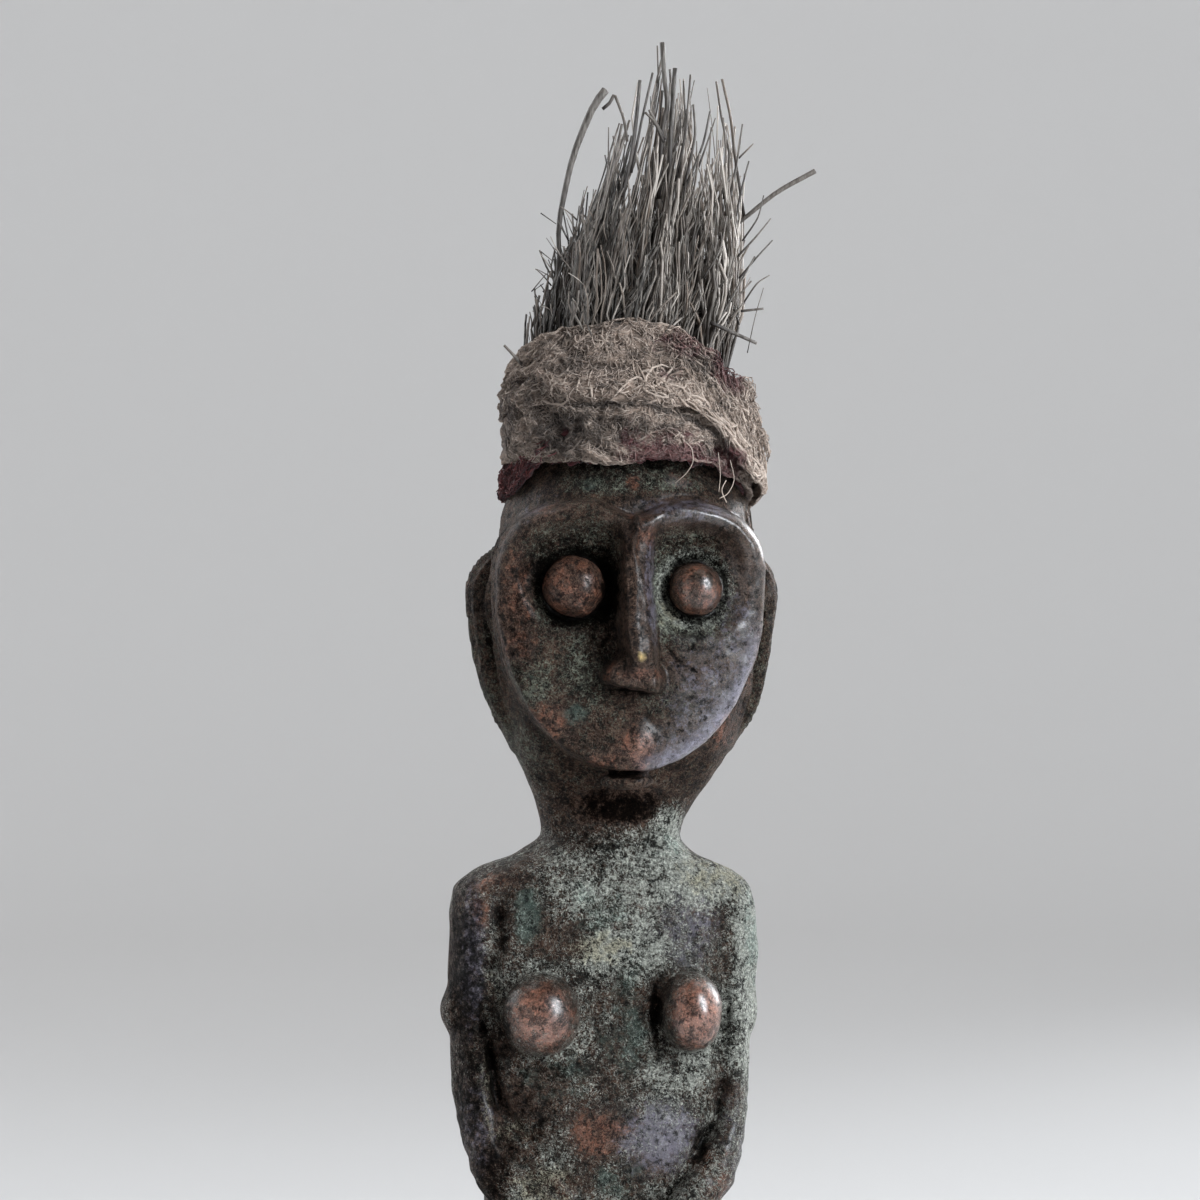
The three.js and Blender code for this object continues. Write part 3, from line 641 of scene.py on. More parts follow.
# The front and the head get finer cells than the back and the legs, which the camera sees less of.
GRID = (
    np.arange(-23, 23.3, 0.46),
    np.r_[np.arange(-19.2, -5, 0.42), np.arange(-5, 19, 0.72)],
    np.r_[np.arange(-0.7, 56, 0.85), np.arange(56, 104, 0.48), np.arange(104, 152.4, 0.37)],
)
bronze_points, bronze_squares = surface_net(figure, GRID)
bronze_points, bronze_normals = settle(figure, bronze_points)
print("casting:", len(bronze_points), "points before the finish of its surface")

# %% [markdown]
# A casting of this kind is never smooth. Gentle waves from the wax model, small lumps and a few scratches
# are pressed into the mesh along its normals, less where hands have polished it. Finer grain than the
# mesh can hold is left to the material. Where something lies is told by soft egg-shaped spots.

# %% The finish of the casting's surface
def soft_spot(points, *spot):
    """1 in the middle of an egg-shaped spot, falling to 0 at one and a half times its radii. The spot is
    the x, y, z of its middle, then its three radii."""
    away = np.sqrt((((points - np.array(spot[:3])) / np.array(spot[3:])) ** 2).sum(-1))
    return ramp(away, 1.5, 0.4)


def any_spot(points, spots):
    """The strongest of several soft spots at each point. Each row is how strong it is, then the spot."""
    return np.max([strength * soft_spot(points, *spot) for strength, *spot in spots], 0)


def shelter(reach):
    """How closed in each point is: 1 less the room found at that reach out from the surface, over the
    reach."""
    ahead = bronze_points + reach * bronze_normals
    return np.clip(1 - figure(ahead.T) / reach, 0, 1)


NOSE_X = HEAD_X - 0.1
LEFT_EYE, RIGHT_EYE = [(x, FACE_Y - 2, z) for x, z, _ in EYES]      # as the viewer sees them
SCRATCHES = (
    ((5.4, 124.6), (7.0, 122.6), (9.2, 121.6)),
    ((8.2, 124.2), (9.6, 126.4)),
    ((6.6, 122.4), (6.0, 124.0)),
)
polished = any_spot(bronze_points, (
    (0.8, -8.5, -12, 81.6, 4, 5, 4), (0.9, 9.3, -12, 81.4, 4, 5, 5),
    (0.1, EYES[0][0], -16, EYES[0][1], 3.6, 4, 3.6), (0.8, EYES[1][0], -16, EYES[1][1], 3.2, 4, 3.2),
    (0.4, 11.0, -14, 118, 4.6, 6, 8), (0.16, NOSE_X + 0.4, -17, 128, 3, 4, 12),
    (0.9, 8, -13.4, 139.8, 8, 3, 2.0), (1.0, 15.4, -10, 134, 2.6, 5, 8),
    (0.35, 2.2, -13, 112.6, 2.4, 3, 3), (0.5, 8, -12.5, 112.8, 5, 4, 3),
))
side, ahead, up = bronze_points.T
front_share = ramp(ahead, 2, -4)
scratch_distance = np.min([line_distance(side, up, scratch) for scratch in SCRATCHES], 0)
scratched = hill(scratch_distance, 0.28) * ramp(ahead, -9, -10)
calm = np.maximum(polished, 0.75 * soft_spot(bronze_points, 10, -13, 118, 6, 4, 9))
waves = 0.17 * rough_lumps(bronze_points, 6.5, 11)
waves = waves + (0.05 + 0.07 * front_share) * rough_lumps(bronze_points, 2.3, 21)
waves = waves + 0.07 * front_share * lumps(bronze_points, 0.95, 27)
waves = waves * (1 - 0.75 * calm) - 0.05 * scratched
bronze_points = bronze_points + bronze_normals * waves[:, None]
cast_figure = put_mesh("cast_figure", bronze_points, bronze_squares)
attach(cast_figure, "root")
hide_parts("bronze_figure")

# %% [markdown]
# Old bronze shows several skins at once. Hands have rubbed the proud places to copper brown, the hollows
# hold a grey-green crust, and some patches have turned teal. On smooth places that kept their dark patina a
# slate colour is painted in for the window's reflection, a painted highlight runs along the mask's lower
# right edge, painted shade darkens the hollows and the places where shadow falls, and a painted glint sits
# on the golden nose tip. Where each one lies is worked out here as a number per point, and the material
# breaks these soft edges up into grains. A row of a table is how strong the skin is in a spot, then x, y
# and z of the spot's middle, then its three radii.

# %% Where each skin of the patina lies
rubbed = any_spot(bronze_points, (
    (1.0, -9.0, -12.4, 81.2, 4.4, 4.4, 4.7), (1.0, 9.3, -12.6, 81.2, 3.9, 4.6, 5.0),
    (0.9, -2.1, -9, 67.3, 3.6, 3, 2.8), (0.6, -1.2, -15.2, 121.6, 2.0, 2, 1.2),
    (0.75, -15.2, -7, 96.9, 3.2, 4, 2.2), (0.7, -15.6, -7, 93.2, 1.4, 4, 2.4),
    (0.55, -12.0, -12, 131.5, 2.4, 5, 5.4), (0.5, -12.0, -12, 124.6, 2.8, 4, 2.6),
    (0.85, 1.9, -13.6, 112.7, 2.2, 3, 3.2), (0.6, -8.8, -12.6, 115.6, 3.2, 3, 2.8),
    (0.6, -2.2, -13, 111, 2.2, 3, 1.4), (0.6, 2.2, -14.4, 138.2, 2.2, 3, 2.6),
    (0.8, 1.6, -15.5, 121.4, 3.2, 3, 1.0), (0.55, *LEFT_EYE, 3.2, 3, 3.2), (0.4, *RIGHT_EYE, 2.8, 3, 2.8),
    (0.65, 14.2, -9, 114.6, 3.4, 5, 4.0), (0.6, 17, -8, 122, 2.0, 4, 6), (0.5, 5.5, -10, 107.4, 5, 4, 1.6),
    (0.4, -8.6, -12.6, 140.2, 4, 3, 1.4), (0.95, 1.6, -12, 143.8, 0.9, 3, 0.9),
    (0.7, 7.2, -12, 144.2, 1.6, 3, 1.0), (0.6, 11.8, -8.5, 61.5, 3.0, 4, 5.5),
    (0.7, 0.4, -8.2, 91.3, 0.8, 2, 0.8), (0.4, 2.2, -7.4, 92.6, 1.6, 2, 2.4),
    (0.5, -5.6, -9.4, 61, 2.2, 3, 1.6), (0.8, -3.4, -11, 53, 3.4, 3, 4), (0.8, 3.0, -11, 53, 3.4, 3, 4),
    (0.8, -7.9, -8.6, 27, 3.4, 3, 4), (0.8, 7.9, -8.6, 27, 3.4, 3, 4), (0.7, -8.4, -11, 8.5, 4, 3, 2),
    (0.7, 8.4, -11, 8.5, 4, 3, 2), (0.7, 0, 10.5, 48, 9, 3, 4), (0.5, 4, 10, 128, 7, 4, 8),
))
teal = any_spot(bronze_points, (
    (1.0, -10.2, -8, 93.0, 2.0, 3, 4.2), (0.8, 1.2, -9, 78.4, 3.6, 3, 5.6), (0.6, 1.6, -9, 84.5, 2, 3, 4),
    (0.9, -3.7, -13, 143.6, 1.7, 3, 1.4), (0.8, -5.0, -13, 116.7, 1.8, 3, 1.6),
    (0.5, -2, -7.5, 93.5, 4, 3, 3.4), (0.5, -11.5, -12, 120, 2.4, 3, 2.6),
    (0.4, 7.2, -5, 101.4, 2.2, 4, 3.4), (0.8, 0.5, -8, 61.5, 3.2, 3, 2.6), (0.6, 17.6, -2, 90, 2, 6, 8),
    (0.6, -7, -8.6, 74, 5, 3, 3), (0.6, 4, 9, 84, 6, 3, 8), (0.6, -6, 11, 120, 6, 4, 7),
))
# Painted sheen: the window's reflection on smooth patina, painted as a slate colour. These places are also
# glossier and carry less crust.
smooth_painted_sheen = any_spot(bronze_points, (
    (0.7, 8.6, -8, 91.4, 4.4, 4, 4.6), (1.0, 5.6, -9, 66.8, 5.4, 4, 4.4), (0.8, -16.4, -5, 88, 1.6, 5, 9),
    (0.5, 10.2, -13, 118, 5.4, 4, 8.0), (0.5, 12.5, -13, 127, 4, 4, 5), (0.6, -15.8, -4, 68, 2.2, 6, 7),
    (0.5, 14.4, -5, 64, 2.5, 5, 8), (0.8, NOSE_X + 1.9, -15, 131, 1.2, 4, 7),
    (0.6, 8, -13, 140.6, 7, 4, 1.6), (0.5, 8, -12.5, 112.8, 5, 4, 2.4), (0.5, -11, -11, 141.5, 4, 5, 3),
    (0.6, -3, 10, 70, 8, 3, 7),
))
# Painted shadow, near black: under the chin, the nose, the breasts and the cloth, round the eyes and beside
# the nose, in the armpit and creases, and down the figure's shaded right side.
painted_shadow_and_scratches = any_spot(bronze_points, (
    (1.0, 0.8, -6.5, 105.4, 7, 3.4, 2.2), (0.5, -2, -6, 101.6, 5, 3, 2.4),
    (0.7, -6.2, -11.4, 134.6, 5.6, 2.0, 4.4), (0.85, -1.6, -12, 131, 1.6, 3.4, 6),
    (0.6, -6, -11, 126.6, 5, 1.8, 2.6), (0.6, 9, -11.3, 135.2, 5.0, 2.2, 3.0),
    (0.5, 9, -11, 127.4, 5, 1.8, 2.6), (0.75, -13.2, -7, 91.4, 0.9, 3, 4.2),
    (0.75, 5.0, -8.4, 81.2, 0.7, 3, 3.8), (0.8, -17, -3, 86, 2.6, 7, 12), (0.75, -16.4, -3, 72, 3, 7, 12),
    (0.8, -14.2, -6, 62, 3.4, 5, 8), (0.6, -2.6, -12, 126, 2.4, 3, 5), (0.5, -9.6, -8, 69.5, 3.4, 4, 6),
    (0.45, -12.5, -12, 126, 2.6, 4, 9), (0.5, -12.6, -5, 108, 5, 6, 5),
    (0.8, -13.0, -8.6, 79, 1.0, 3, 4.4), (0.6, -9, -8.6, 74.4, 5, 2.4, 1.8),
    (0.7, 1.6, -13, 119.4, 3.4, 2, 0.7), (0.7, 0, -12, 148, 16, 12, 4.6),
    (0.7, 10.4, -8.6, 65.4, 1.2, 3, 3.4), (0.4, -16.6, -3, 128, 2, 6, 12),
    (0.5, -1.6, -8, 98.6, 4, 3, 1.6),
))
bare_of_crust = any_spot(bronze_points, (
    (0.55, 9.5, -14, 117, 6, 4, 8), (0.9, NOSE_X, -16.5, 130, 1.9, 4, 11), (0.8, 7, -13, 140.5, 8, 4, 2),
    (0.6, -12.4, -12, 130, 2.4, 5, 6), (0.7, 3, -13, 112, 4, 3, 4), (0.8, 14.4, -10, 134, 3, 4, 7),
    (0.8, *RIGHT_EYE, 2.9, 3, 2.9), (0.5, *LEFT_EYE, 3.2, 3, 3.2), (0.7, 0.8, -6.5, 105.4, 8, 3.4, 2.2),
    (0.7, -11.5, -8, 70.6, 4.6, 4, 7), (0.8, -14.6, -4, 68, 3.6, 7, 10), (0.6, -3, -9, 67, 5, 3, 3.4),
    (0.5, -17.4, -3, 84, 3, 7, 14),
))
crusted_face = any_spot(bronze_points, (
    (0.9, RIGHT_EYE[0] - 1.4, -12, RIGHT_EYE[2] - 1, 5.0, 3, 5.6), (0.45, -5.6, -12, 132.5, 6.8, 3, 6.6),
    (0.4, -11, -12, 120.4, 3.2, 4, 3.2), (0.55, 0.5, -12, 144.6, 11, 4, 2.0),
    (0.42, -3.6, -12.4, 122, 3, 3, 5), (0.45, 8, -12, 135, 5, 3, 3), (0.4, 6, -13, 118.4, 3.6, 3, 2.0),
    (0.5, -13, -4, 110, 5, 8, 6), (0.5, 17, 2, 124, 3, 5, 12), (0.5, -14, 2, 124, 3, 5, 12),
))
# Pale crust. On the figure's left upper arm, at the viewer's right, it is made strong enough to stand in
# for a painted rim highlight as well.
pale_crust_and_painted_rim = any_spot(bronze_points, (
    (0.6, 13, -4, 96.6, 6, 7, 3.4), (1.2, 7.6, -5, 101.4, 2.8, 4, 3.8), (1.0, 17, -3, 86, 2.4, 6, 13),
    (0.3, -15.0, -8, 72.5, 1.0, 4, 5.2), (0.3, -12.0, -9, 67.6, 2.6, 4, 1.6), (0.35, 1, -8, 88, 6, 3, 3),
    (0.3, 11, -8.4, 74, 3, 3, 4), (0.12, RIGHT_EYE[0] - 3.2, -12.6, RIGHT_EYE[2] - 3.4, 1.8, 3, 2.6),
))
ochre = any_spot(bronze_points, (
    (1.0, -15.0, -8, 72.5, 1.0, 4, 5.2), (1.0, -12.0, -9, 67.6, 2.6, 4, 1.6),
    (0.8, -8, -9.5, 61.6, 4, 4, 2.4), (0.5, -14.6, -8, 83, 2, 4, 4), (0.7, -2, -8, 89, 4, 3, 2),
    (0.6, 12.5, -4, 97.4, 5, 6, 3), (0.5, RIGHT_EYE[0] - 3.2, -12.6, RIGHT_EYE[2] - 3.4, 1.8, 3, 2.6),
    (0.4, -11, -12, 121, 3, 3, 3),
))
side, ahead, up = bronze_points.T
on_body = ramp(up, NECK_Z + 4, NECK_Z - 3)
# Painted shade: the more closed in a place is, the darker it is painted.
painted_hollow_shade = np.clip(0.6 * ramp(shelter(0.8), 0.25, 0.9) + 0.4 * ramp(shelter(2.5), 0.35, 0.95), 0, 1)
patches = rough_lumps(bronze_points, 6.0, 51)
ball_middles = [(x, FACE_Y + EYE_DEPTH, z) for x, z, _ in EYES]
ball_gap = [np.linalg.norm(bronze_points - middle, axis=1) - eye[2]
            for middle, eye in zip(ball_middles, EYES)]
on_ball = ramp(np.min(ball_gap, 0), 0.5, 0.1)
flecked = hill(ball_gap[1] - 0.9, 0.8) * ramp(ahead, -8.5, -9.5)
rubbed = np.maximum(rubbed, 0.6 * on_ball)
crust = np.maximum((0.54 + 0.5 * patches) * on_body, crusted_face * (1 - on_body) + 0.16)
crust = crust * (1 - 0.8 * rubbed) * (1 - 0.5 * smooth_painted_sheen) * (1 - 0.9 * bare_of_crust) * (1 - 0.6 * painted_shadow_and_scratches)
crust = (crust + pale_crust_and_painted_rim) * (1 - 0.9 * on_ball) + 0.5 * flecked
# The scratches are real dark lines; they join the painted shadow here.
painted_shadow_and_scratches = np.maximum(painted_shadow_and_scratches, 0.9 * scratched) * (1 - 0.6 * flecked)
aged = np.clip(ramp(up, 104, 110) - pale_crust_and_painted_rim - 0.7 * flecked, 0, 1)
# A painted highlight: a band just inside the mask's lower right edge, which is also made glossy.
lower_right = ramp(side, 1, 5) * ramp(up, 130, 122) * ramp(ahead, -9, -10.5)
painted_highlight_edge = hill(face_outline(side, up) + 0.9, 0.9) * lower_right
# The nose tip: golden where it is rubbed, with a painted glint.
gilt_and_painted_glint = soft_spot(bronze_points, 1.75, FACE_Y - 4.6, 123.5, 0.35, 0.9, 0.5)
polish = np.clip(polished + 0.5 * smooth_painted_sheen + 0.25 * rubbed + painted_highlight_edge, 0, 1) * (1 - 0.8 * painted_shadow_and_scratches)
SKINS = dict(rubbed=rubbed, teal=teal, smooth_painted_sheen=smooth_painted_sheen, crust=crust, painted_hollow_shade=painted_hollow_shade, painted_shadow_and_scratches=painted_shadow_and_scratches, polish=polish,
             ochre=ochre, aged=aged, painted_highlight_edge=painted_highlight_edge, gilt_and_painted_glint=gilt_and_painted_glint)
for name, values in SKINS.items():
    paint(cast_figure, name, values)
    print(f"{name}: mean {values.mean():.2f}, highest {values.max():.2f}")

# %% [markdown]
# Materials are trees of nodes. A few tiny helpers keep them readable: one adds a node, sets its menus and
# fills its sockets with plain values or links. Its output can then be added and multiplied like a
# number, and each such sum places a Math node.

# %% A helper for nodes
class Wire:
    """One output of a node. A sum of wires and numbers places Math nodes in the same tree, and wire["Name"]
    is another output of the same node."""

    def __init__(self, socket):
        self.socket, self.tree = socket, socket.id_data

    def __getitem__(self, name):
        return Wire(self.socket.node.outputs[name])

    def __add__(self, other):
        return maths("ADD", self, other)

    def __sub__(self, other):
        return maths("SUBTRACT", self, other)

    def __rsub__(self, other):
        return maths("SUBTRACT", other, self)

    def __mul__(self, other):
        return maths("MULTIPLY", self, other)

    __radd__, __rmul__ = __add__, __mul__


def fill(made, inputs):
    """Gives each named or numbered socket of a node its wire or its plain value."""
    for socket, value in inputs.items():
        if isinstance(value, Wire):
            value.tree.links.new(value.socket, made.inputs[socket])
        else:
            made.inputs[socket].default_value = value


def node(tree, kind, inputs=None, out=0, **menus):
    """Adds a node of that kind with its menus set and its sockets filled, and returns one output."""
    made = tree.nodes.new("ShaderNode" + kind)
    for menu, choice in menus.items():
        setattr(made, menu, choice)
    fill(made, inputs or {})
    return Wire(made.outputs[out])


def tree_of(*values):
    """The tree that the first wire among these values belongs to."""
    return next(value.tree for value in values if isinstance(value, Wire))


def maths(operation, first, second=0.0, clamp=False):
    """One Math node. With clamp, its result stays between 0 and 1."""
    inputs = {0: first, 1: second}
    return node(tree_of(first, second), "Math", inputs, operation=operation, use_clamp=clamp)


def clamped(value):
    """The value, kept between 0 and 1."""
    return maths("ADD", value, clamp=True)


def stretched(value, low, high, first=0.0, last=1.0, way="LINEAR"):
    """Low becomes first and high becomes last, evenly or by a smooth step, and nothing goes past them."""
    inputs = {0: value, 1: low, 2: high, 3: first, 4: last}
    return node(value.tree, "MapRange", inputs, interpolation_type=way)


def shade(red, green, blue):
    """A colour as it looks on a screen, 0 to 255, turned into the light values that a shader works with."""
    steps = [value / 255 for value in (red, green, blue)]
    return (*[s / 12.92 if s <= 0.04045 else ((s + 0.055) / 1.055) ** 2.4 for s in steps], 1)


def blend(share, first, second, way="MIX"):
    """The colour that is that share of the way from the first to the second. Each is a wire or a screen
    colour."""
    first, second = (value if isinstance(value, Wire) else shade(*value) for value in (first, second))
    inputs = {0: share, 6: first, 7: second}
    return node(tree_of(share, first, second), "Mix", inputs, 2, data_type="RGBA", blend_type=way)


def bumps(height, strength, distance):
    """The normal of a surface with that height drawn on it, in metres where the height is 1."""
    return node(height.tree, "Bump", {"Height": height, "Strength": strength, "Distance": distance})


def level(tree, name):
    """The number that paint() gave each point under this name."""
    return node(tree, "Attribute", out="Fac", attribute_name=name)


def new_group(name, numbers, results):
    """A node group that takes a place and some numbers. Returns its tree, its input wires and its output
    node."""
    tree = bpy.data.node_groups.new(name, "ShaderNodeTree")
    tree.interface.new_socket("Place", in_out="INPUT", socket_type="NodeSocketVector")
    for direction, sockets in (("INPUT", numbers), ("OUTPUT", results)):
        for socket in sockets:
            tree.interface.new_socket(socket, in_out=direction, socket_type="NodeSocketFloat")
    return tree, Wire(tree.nodes.new("NodeGroupInput").outputs[0]), tree.nodes.new("NodeGroupOutput")


def new_material(name):
    """An empty material with a Principled shader, its tree, and the place on the piece in Object
    coordinates."""
    material = bpy.data.materials.new(name)
    material.use_nodes = True
    tree = material.node_tree
    return material, tree, tree.nodes["Principled BSDF"], node(tree, "TexCoord", out="Object")

# %% [markdown]
# Crust, rubbed metal, dirt and fading all need the same thing: a soft region broken up into grains. So
# that is one group. It takes noise at a given grain size and keeps as large a share of it as it is told,
# which may be a painted number that changes over the surface. A second group draws worm-like lines.

# %% The grain group
LOW_NOISE, HIGH_NOISE = 0.27, 0.73      # nearly all of the noise lies between these
FILIGREE_WIDTH = 0.11


def make_grains():
    """Mask = smooth step of noise about the level 1 - share, and Vein = thin lines where the noise is near
    its middle. Grain is in parts per metre."""
    tree, given, result = new_group(
        "grains", ("Grain", "Share", "Softness", "Roughness"), ("Mask", "Noise", "Vein"))
    noise = node(tree, "TexNoise", {"Vector": given["Place"], "Scale": given["Grain"], "Detail": 4.0,
                                    "Roughness": given["Roughness"]}, "Fac")
    spread = stretched(noise, LOW_NOISE, HIGH_NOISE)
    middle, softness = 1.0 - given["Share"], given["Softness"]
    mask = stretched(spread, middle - softness, middle + softness, way="SMOOTHSTEP")
    vein = stretched(maths("ABSOLUTE", noise - 0.5), 0.0, 0.045, 1.0, 0.0, "SMOOTHSTEP")
    fill(result, {"Mask": mask * stretched(given["Share"], 0.0, 0.2), "Noise": spread, "Vein": vein})
    return tree


def grains(place, grain, share, softness, roughness):
    """The mask of the grain group, with these values. Its noise and veins hang on it by their names."""
    inputs = {"Place": place, "Grain": grain, "Share": share, "Softness": softness, "Roughness": roughness}
    return node(place.tree, "Group", inputs, node_tree=GRAINS)


def make_filigree():
    """Lines = worm-like lines where a warped noise passes its middle: 1 where it is off the middle by less
    than share times a width. They widen until they meet as the share grows, and vanish at 0. A finer noise
    breaks them up."""
    tree, given, result = new_group("filigree", ("Grain", "Share"), ("Lines",))
    noise = node(tree, "TexNoise", {"Vector": given["Place"], "Scale": given["Grain"], "Detail": 2.0,
                                    "Roughness": 0.6, "Distortion": 0.9}, "Fac")
    half = given["Share"] * FILIGREE_WIDTH
    line = stretched(maths("ABSOLUTE", noise - 0.5), half - 0.014, half + 0.02, 1.0, 0.0, "SMOOTHSTEP")
    broken = grains(given["Place"], 2900.0, 0.6, 0.2, 0.85) * 0.7 + 0.3
    fill(result, {"Lines": line * stretched(given["Share"], 0.0, 0.2) * broken})
    return tree


GRAINS = make_grains()
FILIGREE = make_filigree()


def filigree(place, grain, share):
    """The lines of the filigree group, with these values."""
    return node(place.tree, "Group", {"Place": place, "Grain": grain, "Share": share}, node_tree=FILIGREE)

# %% [markdown]
# The bronze itself. Metal under a thin skin of oxide and wax is neither plain metal nor plain paint, so
# the patina is half metallic with a soft coat, while the crust is rough and not metallic at all. From
# the bottom up: dark patina, brown where it is thin, a painted slate sheen where it is smooth, copper
# where it is rubbed, a painted highlight along the mask's edge, painted near-black shade in the hollows
# and shadows, then crust in grains, and a painted glint on the nose tip.

# %% The bronze material
def make_bronze():
    """Colour, metal share, roughness and bump, each built up skin by skin."""
    material, tree, shader, place = new_material("patinated_bronze")
    rubbed, teal, smooth_painted_sheen, crust, painted_hollow_shade, painted_shadow_and_scratches, polish, ochre, aged, painted_highlight_edge, gilt_and_painted_glint = (
        level(tree, name) for name in SKINS)
    fine = grains(place, 3200.0, 0.5, 0.3, 0.8)
    middling = grains(place, 900.0, 0.5, 0.22, 0.75)
    broad = grains(place, 260.0, 0.5, 0.3, 0.7)

    # The dark patina, brown where it is thin, and where it is smooth a painted sheen of slate colour.
    brown_lines = filigree(place, 2100.0, broad * 0.4 + 0.2)
    colour = blend(broad, (17, 13, 11), (50, 34, 26))
    colour = blend(middling * 0.5, colour, (82, 61, 50))
    colour = blend(brown_lines * 0.5, colour, (128, 104, 90))
    painted_sheens = grains(place, 1000.0, smooth_painted_sheen * 0.76, 0.26, 0.85)
    colour = blend(painted_sheens * 0.75, colour, (131, 127, 142))

    # Rubbed copper: mottled, dull or bright by its polish, with pale lines and dark veins.
    worn = grains(place, 600.0, rubbed * 0.92, 0.24, 0.85)
    mottle = grains(place, 620.0, 0.5, 0.14, 0.85)
    dull_copper = blend(mottle, (44, 26, 18), (124, 80, 60))
    bright_copper = blend(mottle, (62, 31, 19), (162, 101, 74))
    copper = blend(clamped(polish * 1.3), dull_copper, bright_copper)
    copper = blend(filigree(place, 1500.0, 0.35) * 0.4, copper, (188, 148, 127))
    copper = blend(fine["Vein"] * 0.5, copper, (58, 35, 28))
    colour = blend(worn * 0.9, colour, copper)
    # A painted highlight: a pale lilac band along the mask's lower right edge.
    colour = blend(painted_highlight_edge * (middling * 0.45 + 0.35), colour, (150, 148, 166))

    # The film under the crust, teal in places, then pits, and near-black painted shade with the scratches.
    film = grains(place, 330.0, crust, 0.45, 0.75)
    teals = grains(place, 420.0, teal * 0.85, 0.34, 0.75)
    teal_film = blend(middling["Noise"], (58, 72, 67), (104, 122, 114))
    under = blend(teals, blend(aged * 0.75, (42, 45, 41), (28, 30, 26)), teal_film)
    colour = blend(maths("MAXIMUM", film, teals) * 0.7, colour, under)
    pits = grains(place, 1300.0, 0.4 - polish * 0.14, 0.12, 0.75)
    colour = blend(pits * 0.85, colour, (16, 14, 13))
    painted_dark_shade = grains(place, 950.0, clamped(painted_hollow_shade * 0.75 + painted_shadow_and_scratches * 0.8), 0.32, 0.85)
    colour = blend(painted_dark_shade * 0.95, colour, (10, 9, 8))

    # The crust: sage lines and specks, with teal, ochre and old ones among them, darker in painted shade.
    patchy = broad["Noise"] * 1.2 + middling["Noise"] * 1.3
    crust_share = crust * (patchy - 0.5) * (1.0 - painted_dark_shade * 0.6) * (1.0 - teals * 0.15)
    specks = grains(place, 1800.0, crust_share * 0.8, 0.09, 0.85)
    crusts = clamped(filigree(place, 2000.0, crust_share) * 0.8 + specks * 0.6)
    sage = blend(fine["Noise"], (92, 97, 90), (220, 222, 210))
    sage = blend(teals * 0.7, sage, blend(fine["Noise"], (80, 102, 94), (176, 194, 182)))
    sage = blend(grains(place, 800.0, ochre, 0.3, 0.6) * 0.5, sage, (176, 166, 130))
    sage = blend(aged * 0.8, sage, blend(fine["Noise"], (52, 62, 50), (116, 122, 98)))
    sage = blend(painted_dark_shade * 0.6, sage, (70, 70, 60))
    colour = blend(crusts * 0.85, colour, sage)
    colour = blend(1.0, colour, stretched(fine["Noise"], 0.1, 0.9, 0.5, 1.5), "MULTIPLY")
    # A painted glint, pale gold, on the rubbed tip of the nose.
    colour = blend(gilt_and_painted_glint, colour, (240, 212, 150))

    # How it takes the light: crust and painted shade are rough, and only the bare metal has a coat.
    bare = 1.0 - crusts
    grit = crusts * 1.3 + fine["Noise"] * 0.7 + brown_lines * 0.5 + middling["Noise"] - pits * 1.6
    coat = polish * (mottle * 0.5 + 0.35)
    fill(shader, {
        "Base Color": colour,
        "Metallic": clamped(bare * 0.78 + painted_dark_shade * 0.25),
        "Roughness": clamped(0.56 - polish * 0.27 + crusts * 0.25 + fine["Noise"] * 0.14 + painted_dark_shade * 0.3),
        "Coat Weight": bare * coat * (1.0 - pits * 0.8),
        "Normal": bumps(grit * (1.0 - polish * 0.3), 0.9, 0.0003),
        "Coat Roughness": 0.3,
        "Coat IOR": 2.0,
    })
    return material


cast_figure.data.materials.append(make_bronze())

# %% [markdown]
# The sweep is painted a plain pale grey.

# %% The sweep's paint
wall_paint, _, wall_shader, _ = new_material("pale_wall")
fill(wall_shader, {"Base Color": (0.62, 0.62, 0.62, 1), "Roughness": 0.9})
sweep.data.materials.append(wall_paint)

# %% [markdown]
# Fibres, twigs, threads and fluff are all thin tubes, thousands of them. One object per tube would be
# slow, so many are made as one mesh: every tube has the same count of stations and sides, and the whole
# set is worked out in one go.

# %% Many thin tubes at once
def tube_points(paths, radii, sides):
    """Rings of points round the stations of many paths. A ring lies across the path: one axis is the path's
    direction crossed with the world axis it runs along least, and the other is square to both."""
    along = np.gradient(paths, axis=1)
    along /= np.linalg.norm(along, axis=-1, keepdims=True) + 1e-9
    least = np.eye(3)[np.argmin(np.abs(along.mean(1)), -1)][:, None, :]
    across = np.cross(along, least)
    across /= np.linalg.norm(across, axis=-1, keepdims=True) + 1e-9
    up = np.cross(along, across)
    angle = np.linspace(0, 2 * math.pi, sides, endpoint=False)
    ring = across[:, :, None] * np.cos(angle)[:, None] + up[:, :, None] * np.sin(angle)[:, None]
    return paths[:, :, None] + ring * radii[:, :, None, None]


def put_tubes(name, paths, radii, sides, strands):
    """Closed tubes round many paths (count, stations, 3), with a pole in the middle of each end. Strands
    is a number for each tube, which its material reads."""
    count, stations = paths.shape[:2]
    rings = tube_points(paths, radii, sides).reshape(count, -1, 3)
    points = np.concatenate([rings, paths[:, :1], paths[:, -1:]], 1)
    size, rim = points.shape[1], np.arange(sides)
    ends = np.concatenate([fan(size - 2, rim[::-1]), fan(size - 1, (stations - 1) * sides + rim)])
    offset = (np.arange(count) * size)[:, None, None]
    piece = put_mesh(name, points.reshape(-1, 3), (ring_squares(stations, sides) + offset).reshape(-1, 4),
                     (ends + offset).reshape(-1, 3))
    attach(piece, "root")
    paint(piece, "strand", per_tube(strands, paths, sides))
    return piece


def per_tube(values, paths, sides):
    """One value per tube, repeated for each of its points."""
    return np.repeat(values, paths.shape[1] * sides + 2)


